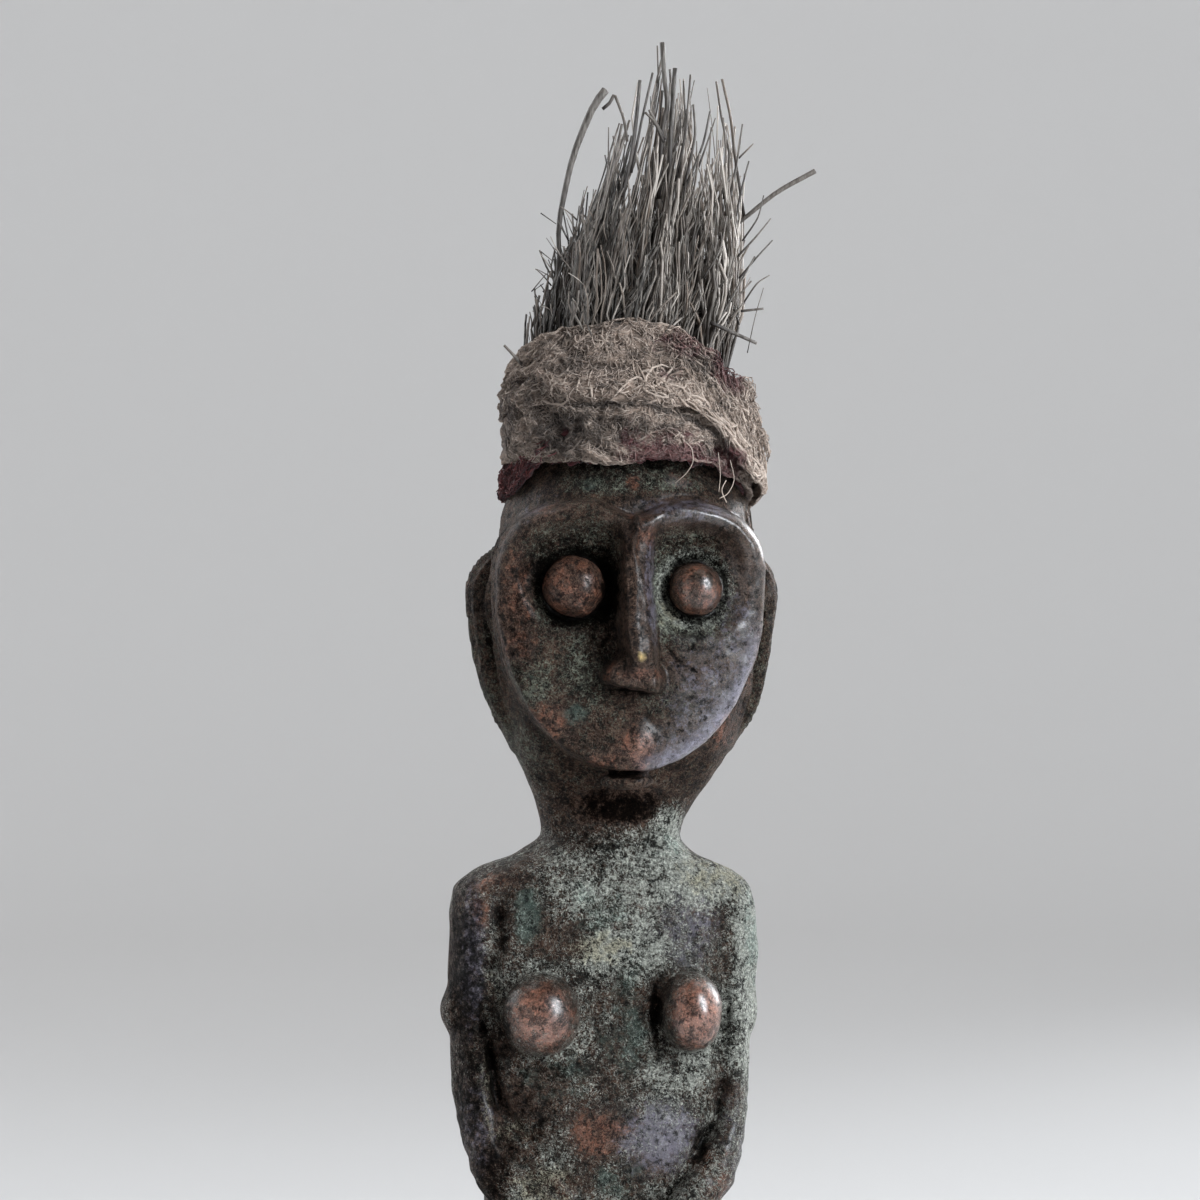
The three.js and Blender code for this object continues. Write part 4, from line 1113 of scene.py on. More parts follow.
def tube_centres(paths, sides):
    """The centreline place that each point of the tubes belongs to."""
    rings = np.repeat(paths, sides, 1)
    return np.concatenate([rings, paths[:, :1], paths[:, -1:]], 1).reshape(-1, 3)


def along_tube(paths, sides):
    """How far along its tube each point is, from 0 at the first station to 1 at the last."""
    count, stations = paths.shape[:2]
    one = np.r_[np.repeat(np.linspace(0, 1, stations), sides), 0, 1]
    return np.tile(one, count)

# %% [markdown]
# The tuft is stiff palm fibre, like coarse bristle. The bundle leans to the figure's left as it rises,
# and its fibres cling together in points. So each fibre keeps its share of the way across the bundle,
# whose edges are two curves, and is drawn towards the nearest of a few spikes that are listed.

# %% The palm fibres
FIBRE_COUNT, FIBRE_SIDES = 1500, 4
FIBRE_FOOT_Z = 154
WISP_COUNT = 130
BUNDLE_HEIGHTS = (150, 160, 170, 180, 192, 200)
BUNDLE_RIGHT_EDGE = (-7.8, -8.9, -7.4, -3.4, 1.0, 3.0)      # the figure's right, at the viewer's left
BUNDLE_LEFT_EDGE = (13.2, 15.4, 16.6, 16.0, 14.6, 12.4)
BUNDLE_HALF_DEPTH = (9.4, 10.2, 9.4, 7.0, 4.0, 3.0)
SPIKES = (
    # x, y, z of the tip: three tall locks, the lower ends between them, then the rim, front and back
    (3.6, -1.5, 192.0), (2.9, 0.6, 187.8), (1.9, -0.8, 184.6), (3.6, 1.4, 186.0), (3.0, -2.6, 183.4),
    (2.2, 2.4, 181.8), (6.8, -1.0, 196.6), (8.2, -0.4, 193.8), (7.4, 1.2, 189.4), (6.4, -2.4, 186.6),
    (9.8, 0.2, 192.8), (8.9, -1.8, 188.8), (10.1, 1.0, 189.2), (8.0, 2.4, 185.4), (9.4, -3.0, 184.6),
    (13.9, -0.6, 192.4), (14.4, 0.8, 187.6), (15.2, -0.8, 187.0), (13.6, 1.6, 187.2), (14.8, -2.0, 184.2),
    (14.2, -3.0, 182.0), (5.3, -3.4, 180.4), (11.6, -2.6, 179.6), (11.9, 2.8, 180.0), (5.2, 3.0, 180.6),
    (0.6, -1.6, 180.0), (16.4, 0.6, 181.2), (-0.9, -1.2, 178.6), (-2.8, -2.0, 176.0), (-4.8, -1.0, 173.4),
    (-6.6, -1.6, 170.4), (-8.0, 0.2, 167.0), (17.2, -1.4, 177.0), (17.6, 1.0, 173.6), (16.6, -3.4, 172.4),
    (17.4, -3, 168.2), (2.2, -5.6, 176.4), (7.0, -6.2, 176.8), (12.2, -6.0, 175.8), (16.2, -5.4, 172.6),
    (-2.2, -5.8, 170.8), (4.6, -8.2, 171.6), (10.2, -8.4, 171.2), (-5.6, -6.2, 166.4), (14.6, -8.0, 168.6),
    (2.2, 5.6, 176.6), (7.4, 6.4, 177.0), (12.4, 6.0, 176.0), (16.2, 5.2, 173.0), (-2.0, 5.4, 171.4),
    (4.6, 8.4, 171.4), (10.4, 8.6, 171.0), (-5.4, 6.2, 167.0),
)


def bundle_place(across, depth, z):
    """The place at that share of the way across the bundle and that share of its half depth, at a
    height."""
    right_edge = through(BUNDLE_HEIGHTS, BUNDLE_RIGHT_EDGE, z)
    left_edge = through(BUNDLE_HEIGHTS, BUNDLE_LEFT_EDGE, z)
    x = right_edge + (left_edge - right_edge) * across
    return np.stack([x, depth * through(BUNDLE_HEIGHTS, BUNDLE_HALF_DEPTH, z), z], -1)


def fibre_aims(rng, count):
    """Where each fibre stands in the foot, the spike and the wisp it is drawn to, and the share of the
    spike's height it reaches. One fibre stands for each spike itself."""
    spikes = np.array(SPIKES)
    edges = [through(BUNDLE_HEIGHTS, edge, spikes[:, 2]) for edge in (BUNDLE_RIGHT_EDGE, BUNDLE_LEFT_EDGE)]
    spike_depth = spikes[:, 1] / through(BUNDLE_HEIGHTS, BUNDLE_HALF_DEPTH, spikes[:, 2])
    spike_foot = np.stack([(spikes[:, 0] - edges[0]) / (edges[1] - edges[0]), spike_depth], -1)
    angle, reach = rng.uniform(0, 2 * math.pi, count), np.sqrt(rng.uniform(0.02, 1, count))
    foot = np.stack([0.5 + 0.5 * reach * np.cos(angle), reach * np.sin(angle)], -1)
    near = (((foot[:, None] - spike_foot) * (2, 1)) ** 2).sum(-1)
    mine = (near * rng.uniform(0.4, 1.6, near.shape)).argmin(1)
    share = 1 - rng.uniform(0, 1, count) ** 1.15 * 0.52
    share = share - np.clip(0.25 * np.sqrt(near[np.arange(count), mine]), 0, 0.2)
    wisps = rng.uniform(-1, 1, (WISP_COUNT, 2)) * (0.5, 1) + (0.5, 0)
    wisp = (((foot[:, None] - wisps) * (2, 1)) ** 2).sum(-1).argmin(1)
    share = share - rng.uniform(-0.1, 0.16, WISP_COUNT)[wisp]
    mine[: len(spikes)] = np.arange(len(spikes))
    share[: len(spikes)] = 1.0
    return foot, reach, spike_foot[mine], spikes[mine, 2], share, wisps[wisp], wisp


def fibre_paths(count, stations=10, seed=3):
    """Each fibre rises from its place in the foot. With h the share of its own height, it is drawn to its
    wisp and to its spike by smooth steps, leans off its way by h to the power 1.4, and is kinked by small
    waves."""
    rng = np.random.default_rng(seed)
    foot, reach, spike_foot, spike_height, share, wisp_middle, wisp = fibre_aims(rng, count)
    h = np.linspace(0, 1, stations)[None, :, None]
    z = FIBRE_FOOT_Z + ((spike_height - FIBRE_FOOT_Z) * np.clip(share, 0.22, 1))[:, None] * h[..., 0]
    tall = share > 0.8
    short = ~tall[:, None, None]
    pull = np.where(tall, rng.uniform(0.86, 1.0, count), rng.uniform(0.6, 0.95, count))
    lean = rng.normal(0, 1, (count, 1, 2)) * np.where(tall, 0.5, 1.2)[:, None, None]
    lean = lean + rng.normal(0, 2.2, (WISP_COUNT, 1, 2))[wisp] * short
    pull[: len(SPIKES)], lean[: len(SPIKES)] = 1.0, 0.0
    place = foot[:, None] + (wisp_middle - foot)[:, None] * (0.55 * ramp(h, 0.1, 0.8) * short)
    risen = ramp(z, 157, spike_height[:, None] + 1)
    place = place + (spike_foot[:, None] - place) * (pull[:, None] * risen)[..., None]
    path = bundle_place(place[..., 0], place[..., 1], z)
    phase, waves_along = rng.uniform(0, 6.3, (count, 1, 2)), rng.uniform(3, 12, (count, 1, 2))
    kinks = 0.34 * np.sin(phase + waves_along * h) * h**0.7
    kinks = kinks + rng.normal(0, 0.2, (count, stations, 2)) * (h > 0.1)
    path[..., :2] += lean * h**1.4 + kinks
    path[..., 0] = np.clip(path[..., 0], through(BUNDLE_HEIGHTS, BUNDLE_RIGHT_EDGE, z) - 0.7,
                           through(BUNDLE_HEIGHTS, BUNDLE_LEFT_EDGE, z) + 0.8)
    return path, reach, rng


fibres, fibre_reach, rng = fibre_paths(FIBRE_COUNT)
thick = rng.uniform(0.08, 0.18, FIBRE_COUNT) * np.where(rng.random(FIBRE_COUNT) < 0.1, 1.6, 1)
thick[: len(SPIKES)] = rng.uniform(0.14, 0.26, len(SPIKES))
taper = 1 - rng.uniform(0.1, 0.65, (FIBRE_COUNT, 1)) * np.linspace(0, 1, fibres.shape[1]) ** 2
# Fibres at the outside are weathered pale, and paler still on the lit side as painted light, while
# those inside are kept dark as painted shade.
painted_lit_side = 0.3 * (fibres[:, 4, 0] - 4) / 12
exposed_and_painted_lit = np.clip(fibre_reach**1.5 + ramp(fibres[:, -1, 2], 176, 188), 0, 1)
weathered_and_painted_light = np.clip(rng.random(FIBRE_COUNT) + painted_lit_side, 0, 1) * (0.3 + 0.7 * exposed_and_painted_lit)
palm_fibres = put_tubes("palm_fibres", fibres, thick[:, None] * taper, FIBRE_SIDES, weathered_and_painted_light)
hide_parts("palm_fibre_tuft")
paint(palm_fibres, "along", along_tube(fibres, FIBRE_SIDES))

# %% [markdown]
# A few fibres catch the eye, so they are set one by one: the thick stalk that bends over at the
# viewer's left, the kinked one beside it, the one that sticks out to the right, and the short ends and
# twigs round the foot. Each is a list of places in millimetres with the thickness at its two ends.

# %% The stray fibres
STRAY_STATIONS, STRAY_SIDES, END_SIDES = 12, 6, 4
STRAYS = (
    # thickness at the foot and at the tip, then x, y, z of the places it passes
    (0.45, 1.0, ((-6.6, -2, 163), (-5.8, -2, 170.2), (-5.9, -2, 174), (-5.3, -2, 177.8), (-4.3, -2, 182.3),
                 (-3.0, -2, 185.9), (-1.5, -2, 189.2), (-0.2, -2, 190.9))),
    (0.42, 0.36, ((-0.6, -2.2, 188.6), (0.3, -2.2, 189.4), (0.8, -2.2, 190.3), (1.4, -2.2, 189.0),
                  (2.0, -2, 187.4),
                 (2.4, -2, 184.8))),
    (0.45, 0.62, ((13.4, -1.6, 173.4), (16.8, -2.2, 176.0), (20.4, -2.8, 178.9), (25.0, -3.4, 181.5))),
    (0.5, 0.62, ((6.2, -2, 178), (6.6, -2.2, 186), (7.2, -2.2, 189.4), (6.9, -2.2, 192.2),
                 (6.6, -2.2, 196.7))),
    (0.6, 0.56, ((7.4, -2.4, 180), (7.6, -2.6, 186), (8.1, -2.6, 193.6))),
    (0.36, 0.26, ((8.0, -3, 180), (9.3, -3.2, 186), (9.6, -3.2, 189.4), (9.9, -3.0, 192.8))),
    (0.34, 0.28, ((9.0, -3.4, 179), (10.4, -3.4, 186), (10.2, -3.2, 189.2))),
    (0.5, 0.45, ((1.6, -3, 178), (2.9, -3.2, 184), (3.8, -3, 192.0))),
    (0.34, 0.3, ((2.8, -2.6, 181), (4.0, -2.6, 187), (5.4, -2.6, 193.0))),
    (0.4, 0.34, ((16.6, -2, 176), (15.4, -2, 184), (15.0, -2, 187.6), (13.9, -2, 192.5))),
    (0.3, 0.26, ((14.0, -2.6, 178), (14.2, -2.8, 184), (13.9, -2.6, 187.8))),
    (0.34, 0.2, ((14.2, -3, 176), (15.6, -3.2, 183), (16.2, -3, 187.0))),
    (0.3, 0.16, ((11.0, -2, 181.8), (12.0, -1.6, 184.4), (13.2, -1.4, 187.9))),
    (0.25, 0.14, ((16.3, 0, 183.3), (18.1, 0, 185.1))),
    (0.45, 0.36, ((6.9, -2.4, 185.0), (5.6, -2.4, 187.4), (5.0, -2.4, 188.6))),
    (0.2, 0.14, ((-0.6, -1, 174), (0.2, -1, 181), (0.3, -1, 186.6))),
    (0.16, 0.1, ((-7.9, -1, 176.2), (-6.0, -1, 174.9))),
    (0.14, 0.1, ((-8.0, -2, 171.5), (-6.6, -2, 170.4))),
    (0.16, 0.1, ((-9.0, -1, 166.8), (-7.2, -1, 169.0))),
    (0.11, 0.08, ((-7.8, -3, 167.6), (-8.9, -3.2, 166.6), (-8.1, -3.4, 164.9), (-8.4, -3.2, 163.7),
                  (-8.8, -3, 162.0))),
    (0.35, 0.3, ((16.0, -3, 164.6), (18.7, -3.4, 164.9))),
    (0.5, 0.4, ((11.4, -8.0, 162.8), (17.0, -8.0, 160.4))),
    (0.12, 0.1, ((16.8, -3, 159.6), (17.6, -3.4, 163.6), (18.7, -3.4, 167.4))),
    (0.28, 0.16, ((15.6, -4, 168.4), (17.4, -4.4, 170.6), (19.6, -4.4, 173.0))),
    (0.28, 0.14, ((15.4, -4, 171.0), (17.6, -4.4, 173.4), (19.4, -4.4, 175.6))),
    (0.24, 0.12, ((16.2, -3, 165.4), (18.0, -3.6, 168.0), (19.4, -3.6, 168.9))),
    (0.24, 0.12, ((16.2, -3, 173), (18.0, -4, 176.0), (18.6, -4, 178.4))),
    (0.5, 0.3, ((-10.2, -4, 157.6), (-11.2, -4.4, 158.6), (-12.7, -4.6, 160.1))),
    (0.4, 0.2, ((-9.2, -4, 158.4), (-10.4, -4.6, 159.8))),
    (0.3, 0.26, ((8.6, -3.4, 178), (10.2, -3.6, 181.6), (11.4, -3.6, 184.8), (12.2, -3.4, 188.4))),
    (0.34, 0.3, ((6.7, -3, 184.6), (5.4, -3, 187.2), (4.4, -3, 188.2))),
    (0.3, 0.2, ((15.4, -3, 176.0), (16.2, -3, 179.6), (17.0, -3, 182.6))),
    (0.3, 0.2, ((10.6, -8, 168), (12.6, -8.2, 171.6), (13.4, -8, 175.4))),
    (0.26, 0.2, ((15.8, -3, 163), (13.2, -6.4, 168.6), (11.6, -7.2, 172.6))),
    (0.26, 0.2, ((11.8, -7.6, 161.8), (14.8, -5.6, 166.6), (17.4, -4.6, 171.0))),
    (0.24, 0.2, ((14.6, -4.4, 161.6), (13.6, -5.8, 166), (14.4, -5, 171.0))),
)
stray_paths = np.stack([smooth_path(places, STRAY_STATIONS) for _, _, places in STRAYS])
stray_radii = np.stack([np.linspace(foot, tip, STRAY_STATIONS) / 2 for foot, tip, _ in STRAYS])
stray_tones = np.random.default_rng(5).uniform(0.05, 0.5, len(STRAYS))
stray_tones[0] = 0.16
stray_fibres = put_tubes("stray_fibres", stray_paths, stray_radii, STRAY_SIDES, stray_tones)
paint(stray_fibres, "along", along_tube(stray_paths, STRAY_SIDES))


def side_ends(count=90, seed=17):
    """Short fine ends that stand out all round the tuft's lower half, mostly upwards and outwards."""
    rng = np.random.default_rng(seed)
    angle, z = rng.uniform(0, 2 * math.pi, count), rng.uniform(160.5, 176, count)
    start = bundle_place(0.5 + 0.44 * np.cos(angle), 0.9 * np.sin(angle), z)
    outward = np.stack([np.cos(angle), np.sin(angle), rng.uniform(0.6, 2.6, count)], -1)
    outward /= np.linalg.norm(outward, axis=-1, keepdims=True)
    length = rng.uniform(1.2, 3.8, count)
    h = np.linspace(0, 1, 5)
    bend = rng.normal(0, 0.5, (count, 1, 3)) * (h**2)[:, None]
    return start[:, None] + outward[:, None] * (h[:, None] * length[:, None, None]) + bend, rng


ends, rng = side_ends()
end_radii = rng.uniform(0.06, 0.12, (len(ends), 1)) * np.linspace(1, 0.5, 5)
fine_ends = put_tubes("fine_fibre_ends", ends, end_radii, END_SIDES, rng.random(len(ends)))
paint(fine_ends, "along", along_tube(ends, END_SIDES))

# %% [markdown]
# Weathered palm fibre is grey outside and brown inside. Each fibre has a number of its own, which picks
# its colour, and a fine streak runs along it. In the tuft that number also carries painted light on the
# lit side and painted shade inside the bundle. Towards the foot, all of them are darker.

# %% The fibre material
def make_fibre():
    """Dark and mid fibres with a few pale ones, brown ones among them, pale streaks, and all darker towards
    the foot."""
    material, tree, shader, place = new_material("weathered_palm_fibre")
    drawn_out = node(tree, "Mapping", {"Vector": place, "Scale": (1.0, 1.0, 0.16)})
    streak = grains(drawn_out, 2600.0, 0.5, 0.3, 0.6)
    strand = level(tree, "strand")
    colour = blend(strand, (12, 9, 7), (134, 122, 112))
    colour = blend(stretched(strand, 0.66, 0.88, 0.0, 0.9), colour, (194, 185, 176))
    colour = blend(stretched(maths("ABSOLUTE", strand - 0.55), 0.03, 0.09, 0.5, 0.0), colour, (96, 76, 58))
    colour = blend(streak * 0.4, colour, (150, 144, 137))
    colour = blend(clamped(0.62 - level(tree, "along")) * 1.7, colour, (34, 27, 23))
    fill(shader, {"Base Color": colour, "Normal": bumps(streak["Noise"], 0.5, 0.00006), "Roughness": 0.6})
    return material


fibre_paint = make_fibre()
for piece in (palm_fibres, stray_fibres, fine_ends):
    piece.data.materials.append(fibre_paint)

# %% [markdown]
# The grey-brown cloth is one narrow strip wound twice round the crown. It has matted into felt. It could
# be a ring with a bumpy material, but its folded edge, pits and loose strands stand out at this size, so
# they are shape. The strip is a surface of two numbers: turns round the head, and share of its width,
# and both faces of it are built, so that it is a real closed piece of cloth.

# %% Where the strip lies
CLOTH_X, CLOTH_DEPTH_SHARE = 2.9, 0.93
STRIP_TURNS = 2.14
STRIP_ARC = 96          # one turn's length round the head
STRIP_WIDTH = 10
STRIP_THICKNESS = 0.7
OUTER_HEIGHTS = (141, 143.5, 146.3, 149, 151.4, 153.6, 156, 158.4, 160.4, 162.6)
OUTER_REACH = (14.6, 15.6, 16.2, 16.1, 15.9, 15.5, 15.0, 14.1, 13.0, 11.9)
STRIP_PITS = (
    # angle in degrees with the front at -90, height, radius, depth
    (-104, 159.9, 0.5, 0.9), (-79, 156.7, 1.0, 0.7), (-160, 155.8, 0.9, 1.3), (-131, 157.6, 1.2, 0.7),
    (-158, 151.9, 0.8, 1.1), (-130, 149.8, 0.8, 1.3), (-122, 149.9, 0.7, 1.2), (-142, 148.4, 0.9, 1.1),
    (-51, 147.7, 0.8, 1.0), (-44, 146.0, 0.6, 0.9), (-96, 155.4, 0.6, 0.5), (-66, 158.6, 0.8, 0.9),
    (-58, 156.4, 0.7, 0.9), (-48, 157.4, 0.7, 1.0), (-112, 151.0, 0.6, 0.7), (-88, 149.6, 0.5, 0.6),
    (-74, 148.4, 0.5, 0.6),
    (100, 156, 0.9, 1.0), (60, 151, 0.8, 0.9), (140, 153, 0.9, 1.0), (20, 155.5, 0.8, 0.9),
    (170, 157, 0.9, 1.0),
)


def heading(turns):
    """The angle at that many turns round the head, from the middle of its back by its right to its
    front."""
    return 2 * math.pi * turns + math.pi / 2


def degrees_past(angle, at=0.0):
    """How many degrees the angle lies past another, from -180 to 180."""
    return np.degrees(np.angle(np.exp(1j * (angle - math.radians(at)))))


def round_head(reach, angle, z, middle):
    """The place at that reach from the head's upright axis. The ring is a little less deep than wide."""
    return np.stack([middle + reach * np.cos(angle), CLOTH_DEPTH_SHARE * reach * np.sin(angle), z], -1)


def cloth_lumps(along, across, seed, noise=lumps):
    """Noise over the cloth laid flat. Both places are given in units of the noise's own grain."""
    return noise(np.stack(np.broadcast_arrays(along, across, 0.0), -1), 1.0, seed)


def strip_edges(turns):
    """Heights of the strip's two edges. The first turn lies low. The second climbs over it, folds high
    across the brow and falls to the lower edge at the figure's left, where its torn upper edge lies lower
    too."""
    angle = heading(turns)
    front, left = np.maximum(0, -np.sin(angle)), np.cos(angle)
    low = 143.9 + 2.2 * front - 2.4 * left * (1 - front)
    fall = ramp(degrees_past(angle), -72, -34) * ramp(degrees_past(angle), 110, 50)
    fold = 150.9 + 1.6 * front - 1.0 * left
    fold = fold + (low - 0.2 - fold) * fall
    second = ramp(turns, 0.93, 1.14)
    along = turns * 12
    fringe = 0.35 * cloth_lumps(along * 2, 0, 32, rough_lumps) + 0.22 * cloth_lumps(along * 14, 0, 33)
    bottom = low + (fold - low) * second + fringe
    torn = ramp(left, 0.3, 0.8) * ramp(-np.sin(angle), -0.6, 0.1)
    top_second = 160.9 - 1.7 * np.sin(angle) - 1.6 * left**2 - 0.6 * left - 3.6 * torn
    top = low + 9.5 + (top_second - low - 9.5) * second
    return angle, bottom, top + (0.3 + 0.9 * torn) * cloth_lumps(along * 2.4, 0, 36, rough_lumps), second


def strip_relief(arc, z):
    """Ridges along the winding, wads of felt and fine fuzz, as a height over the cloth's mean face. A ridge
    is a half less the size of a lump noise, so its crest lies where the noise changes sign. The place is
    swirled."""
    z = z + 1.5 * cloth_lumps(arc / 5, z / 4, 49)
    ridges = 0.5 - np.abs(cloth_lumps(arc / 7, z / 1.4 + arc / 30, 41)) * 1.6
    small = 0.5 - np.abs(cloth_lumps(arc / 2.6, z / 0.8 - arc / 18, 42)) * 1.6
    wads = cloth_lumps(arc / 1.4, z / 0.9, 43, rough_lumps)
    broad = cloth_lumps(arc / 6, z / 3.4, 40)
    fuzz = cloth_lumps(arc / 0.42, z / 0.42, 47)
    return 0.34 * broad + 0.4 * ridges + 0.26 * small + 0.2 * wads + 0.08 * fuzz


def strip_point(turns, share, lift=0.0):
    """The outer face at that many turns and that share of the way from the lower edge to the upper one.
    Its reach from the head's axis follows a curve in height. At the figure's right the second turn is
    matted into the first, so its reach falls to the first one's at the fold. At the left the fold is a
    thick roll."""
    angle, bottom, top, second = strip_edges(turns)
    z = bottom + (top - bottom) * share
    left = np.cos(angle)
    outer = through(OUTER_HEIGHTS, OUTER_REACH, z) - 1.4 * ramp(left, 0.4, 0.95) * hill(z - 153.5, 4.5)
    inner = 14.7 + 0.5 * hill(z - 149, 3.5)
    matted = ramp(-left, 0.05, 0.55) * ramp(z - bottom, 3.6, 0)
    outer = outer + (inner + 0.3 - outer) * matted
    roll = ramp(degrees_past(angle), -92, -56) * ramp(degrees_past(angle), 10, -24)
    outer = outer + (0.15 + 0.65 * roll) * hill(share - 0.06, 0.09) * (1 - matted)
    relief = strip_relief(turns * STRIP_ARC, z) * (1 - 0.3 * ramp(left, 0.5, 1))
    reach = inner + (outer - inner) * second + relief + lift
    for at, height, radius, depth in STRIP_PITS:
        reach = reach - depth * hill(np.hypot(degrees_past(angle, at) / 3.8, z - height), radius)
    return round_head(reach, angle, z, CLOTH_X)


def felt_height(turns, share):
    """The relief as a number from 0 in the valleys to 1 on the ridges, for the material."""
    _, bottom, top, _ = strip_edges(turns)
    return np.clip(0.5 + strip_relief(turns * STRIP_ARC, bottom + (top - bottom) * share) / 1.1, 0, 1)


def wound_cloth(name, surface, turns, shares, thickness):
    """A closed strip: its outer face going up, its inner face coming down, and squares across its two ends.
    The inner face lies inwards by the thickness, which falls to a fine edge at the top and bottom."""
    grid_turns, grid_shares = np.meshgrid(turns, shares, indexing="ij")
    outer = surface(grid_turns, grid_shares)
    angle = heading(grid_turns)
    inward = -np.stack([np.cos(angle), np.sin(angle), 0 * angle], -1)
    edge = thickness * np.sqrt(1 - np.abs(2 * grid_shares - 1) ** 8) + 0.06
    inner = outer + inward * edge[..., None]
    loop = np.concatenate([outer, inner[:, ::-1]], 1)
    rows, columns = loop.shape[:2]
    skin = ring_squares(rows, columns)[:, ::-1]
    k = np.arange(len(shares) - 1)
    start = np.stack([k, k + 1, columns - 2 - k, columns - 1 - k], -1)
    end = (start + (rows - 1) * columns)[:, ::-1]
    piece = put_mesh(name, loop.reshape(-1, 3), np.concatenate([skin, start, end]))
    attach(piece, "root")
    return piece, loop.reshape(-1, 3)


STRIP_STATIONS, STRIP_ROWS = 720, 60
grey_strip, strip_loop = wound_cloth(
    "grey_strip", strip_point, np.linspace(0, STRIP_TURNS, STRIP_STATIONS),
    np.linspace(0, 1, STRIP_ROWS), STRIP_THICKNESS)
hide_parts("grey_cloth_wrap")

# %% [markdown]
# Under it lies a turn of faded red cloth. It shows as a frayed rim at the viewer's left, and as shreds
# where the grey cloth has torn.

# %% The red cloth
RED_TURNS, RED_ARC, RED_WIDTH = 1.06, 88, 7
RED_STATIONS, RED_ROWS, RED_THICKNESS = 320, 26, 0.5


def red_point(turns, share, lift=0.0):
    """One turn that hugs the skull. Its lower edge hangs lowest at the figure's right and hides behind the
    grey cloth in front."""
    angle, along, arc = heading(turns), turns * 40, turns * RED_ARC
    front, right = np.maximum(0, -np.sin(angle)), np.maximum(0, -np.cos(angle))
    bottom = 142.2 + 3.9 * ramp(front, 0.1, 0.7)
    bottom = bottom + 0.5 * cloth_lumps(along, 0, 61, rough_lumps) + 0.3 * cloth_lumps(along * 7, 0, 65)
    z = bottom + (150.6 - bottom) * share
    reach = 13.75 + 0.3 * right * hill(z - 143.6, 3.0) + 0.2 * hill(z - 143, 2.0)
    reach = reach + 0.22 * cloth_lumps(arc / 2.4, z / 1.2, 62, rough_lumps)
    reach = reach + 0.12 * cloth_lumps(arc / 0.45, z / 0.45, 63) + 0.02 * turns + lift
    return round_head(reach, angle, z, CLOTH_X - 0.3)


red_strip, red_loop = wound_cloth(
    "red_strip", red_point, np.linspace(0, RED_TURNS, RED_STATIONS),
    np.linspace(0, 1, RED_ROWS), RED_THICKNESS)
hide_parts("red_cloth_band")

# %% [markdown]
# What makes it felt is the loose surface: thousands of short flecks of matted fibre, most of them along
# the winding, with thicker locks among them. Neighbours lie the same way, so their heading comes from a
# slow noise. Each is a path over the strip's own surface with a small lift, so it follows every fold.

# %% Loose strands on the cloth
def strand_starts(cloth, rng, count, each, turn_span, share_span, spread):
    """Even random places over a patch of the cloth, as turns and shares, each with several starts round it.
    The spread is how far off they lie in millimetres. Without it they lie on the place."""
    _, arc, width = cloth
    middles = np.stack([rng.uniform(*turn_span, count), rng.uniform(*share_span, count)], -1)
    starts = np.repeat(middles, each, 0)
    return starts + rng.normal(0, spread, starts.shape) / np.array([arc, width]) if spread else starts


def strand_paths(cloth, rng, starts, length, lift, stray, stations):
    """Each strand leaves its start, runs a random length along the flow of its neighbours, wavers by an
    eighth of its length, and rises from the face in one arch."""
    surface, arc, width = cloth
    count = len(starts)
    h = np.linspace(0, 1, stations)[None]
    run = rng.uniform(*length, count)[:, None] * rng.choice([-1, 1], count)[:, None]
    flow = 0.9 * cloth_lumps(starts[:, :1] * arc / 5, starts[:, 1:] * width / 2.5, 48)
    turned = flow + rng.normal(0, stray, count)[:, None] + rng.normal(0, 0.8, count)[:, None] * h
    waver = np.sin(rng.uniform(0, 6.3, (2, count, 1)) + rng.uniform(3, 8, (2, count, 1)) * h)
    waver = 0.12 * np.abs(run) * waver
    turns = starts[:, :1] + (run * h * np.cos(turned) + waver[0]) / arc
    share = starts[:, 1:] + (np.abs(run) * h * np.sin(turned) + waver[1]) / width
    raised = rng.uniform(*lift, count)[:, None] * np.sin(math.pi * (0.15 + 0.7 * h))
    return surface(turns, np.clip(share, 0.0, 1.0), raised + 0.02)


def put_strands(name, cloth, rng, thick, batches, sides, stations=4):
    """Tubes for several batches of strands, tapered at both ends, with a random number each that picks the
    strand's colour. Returns the piece, the paths and the starts."""
    starts = [strand_starts(cloth, rng, *batch[:5]) for batch in batches]
    paths = [strand_paths(cloth, rng, first, *batch[5:], stations) for first, batch in zip(starts, batches)]
    paths = np.concatenate(paths)
    taper = 0.35 + 0.65 * np.sin(math.pi * np.linspace(0.06, 0.94, stations))
    radii = rng.uniform(*thick, (len(paths), 1)) * taper
    piece = put_tubes(name, paths, radii, sides, rng.random(len(paths)))
    return piece, paths, np.concatenate(starts)


FLUFF_SIDES, LOCK_SIDES, THREAD_SIDES = 3, 5, 5
THREAD_STATIONS = 12
GREY_CLOTH = (strip_point, STRIP_ARC, STRIP_WIDTH)
RED_CLOTH = (red_point, RED_ARC, RED_WIDTH)
SECOND_TURN, FRONT_OF_FIRST = (1.02, STRIP_TURNS), (0.28, 0.76)
TORN_EDGE = (1.54, 1.74)        # the figure's front left, where the upper edge has come apart
ROLL = (1.50, 1.72)             # the thick fold below it

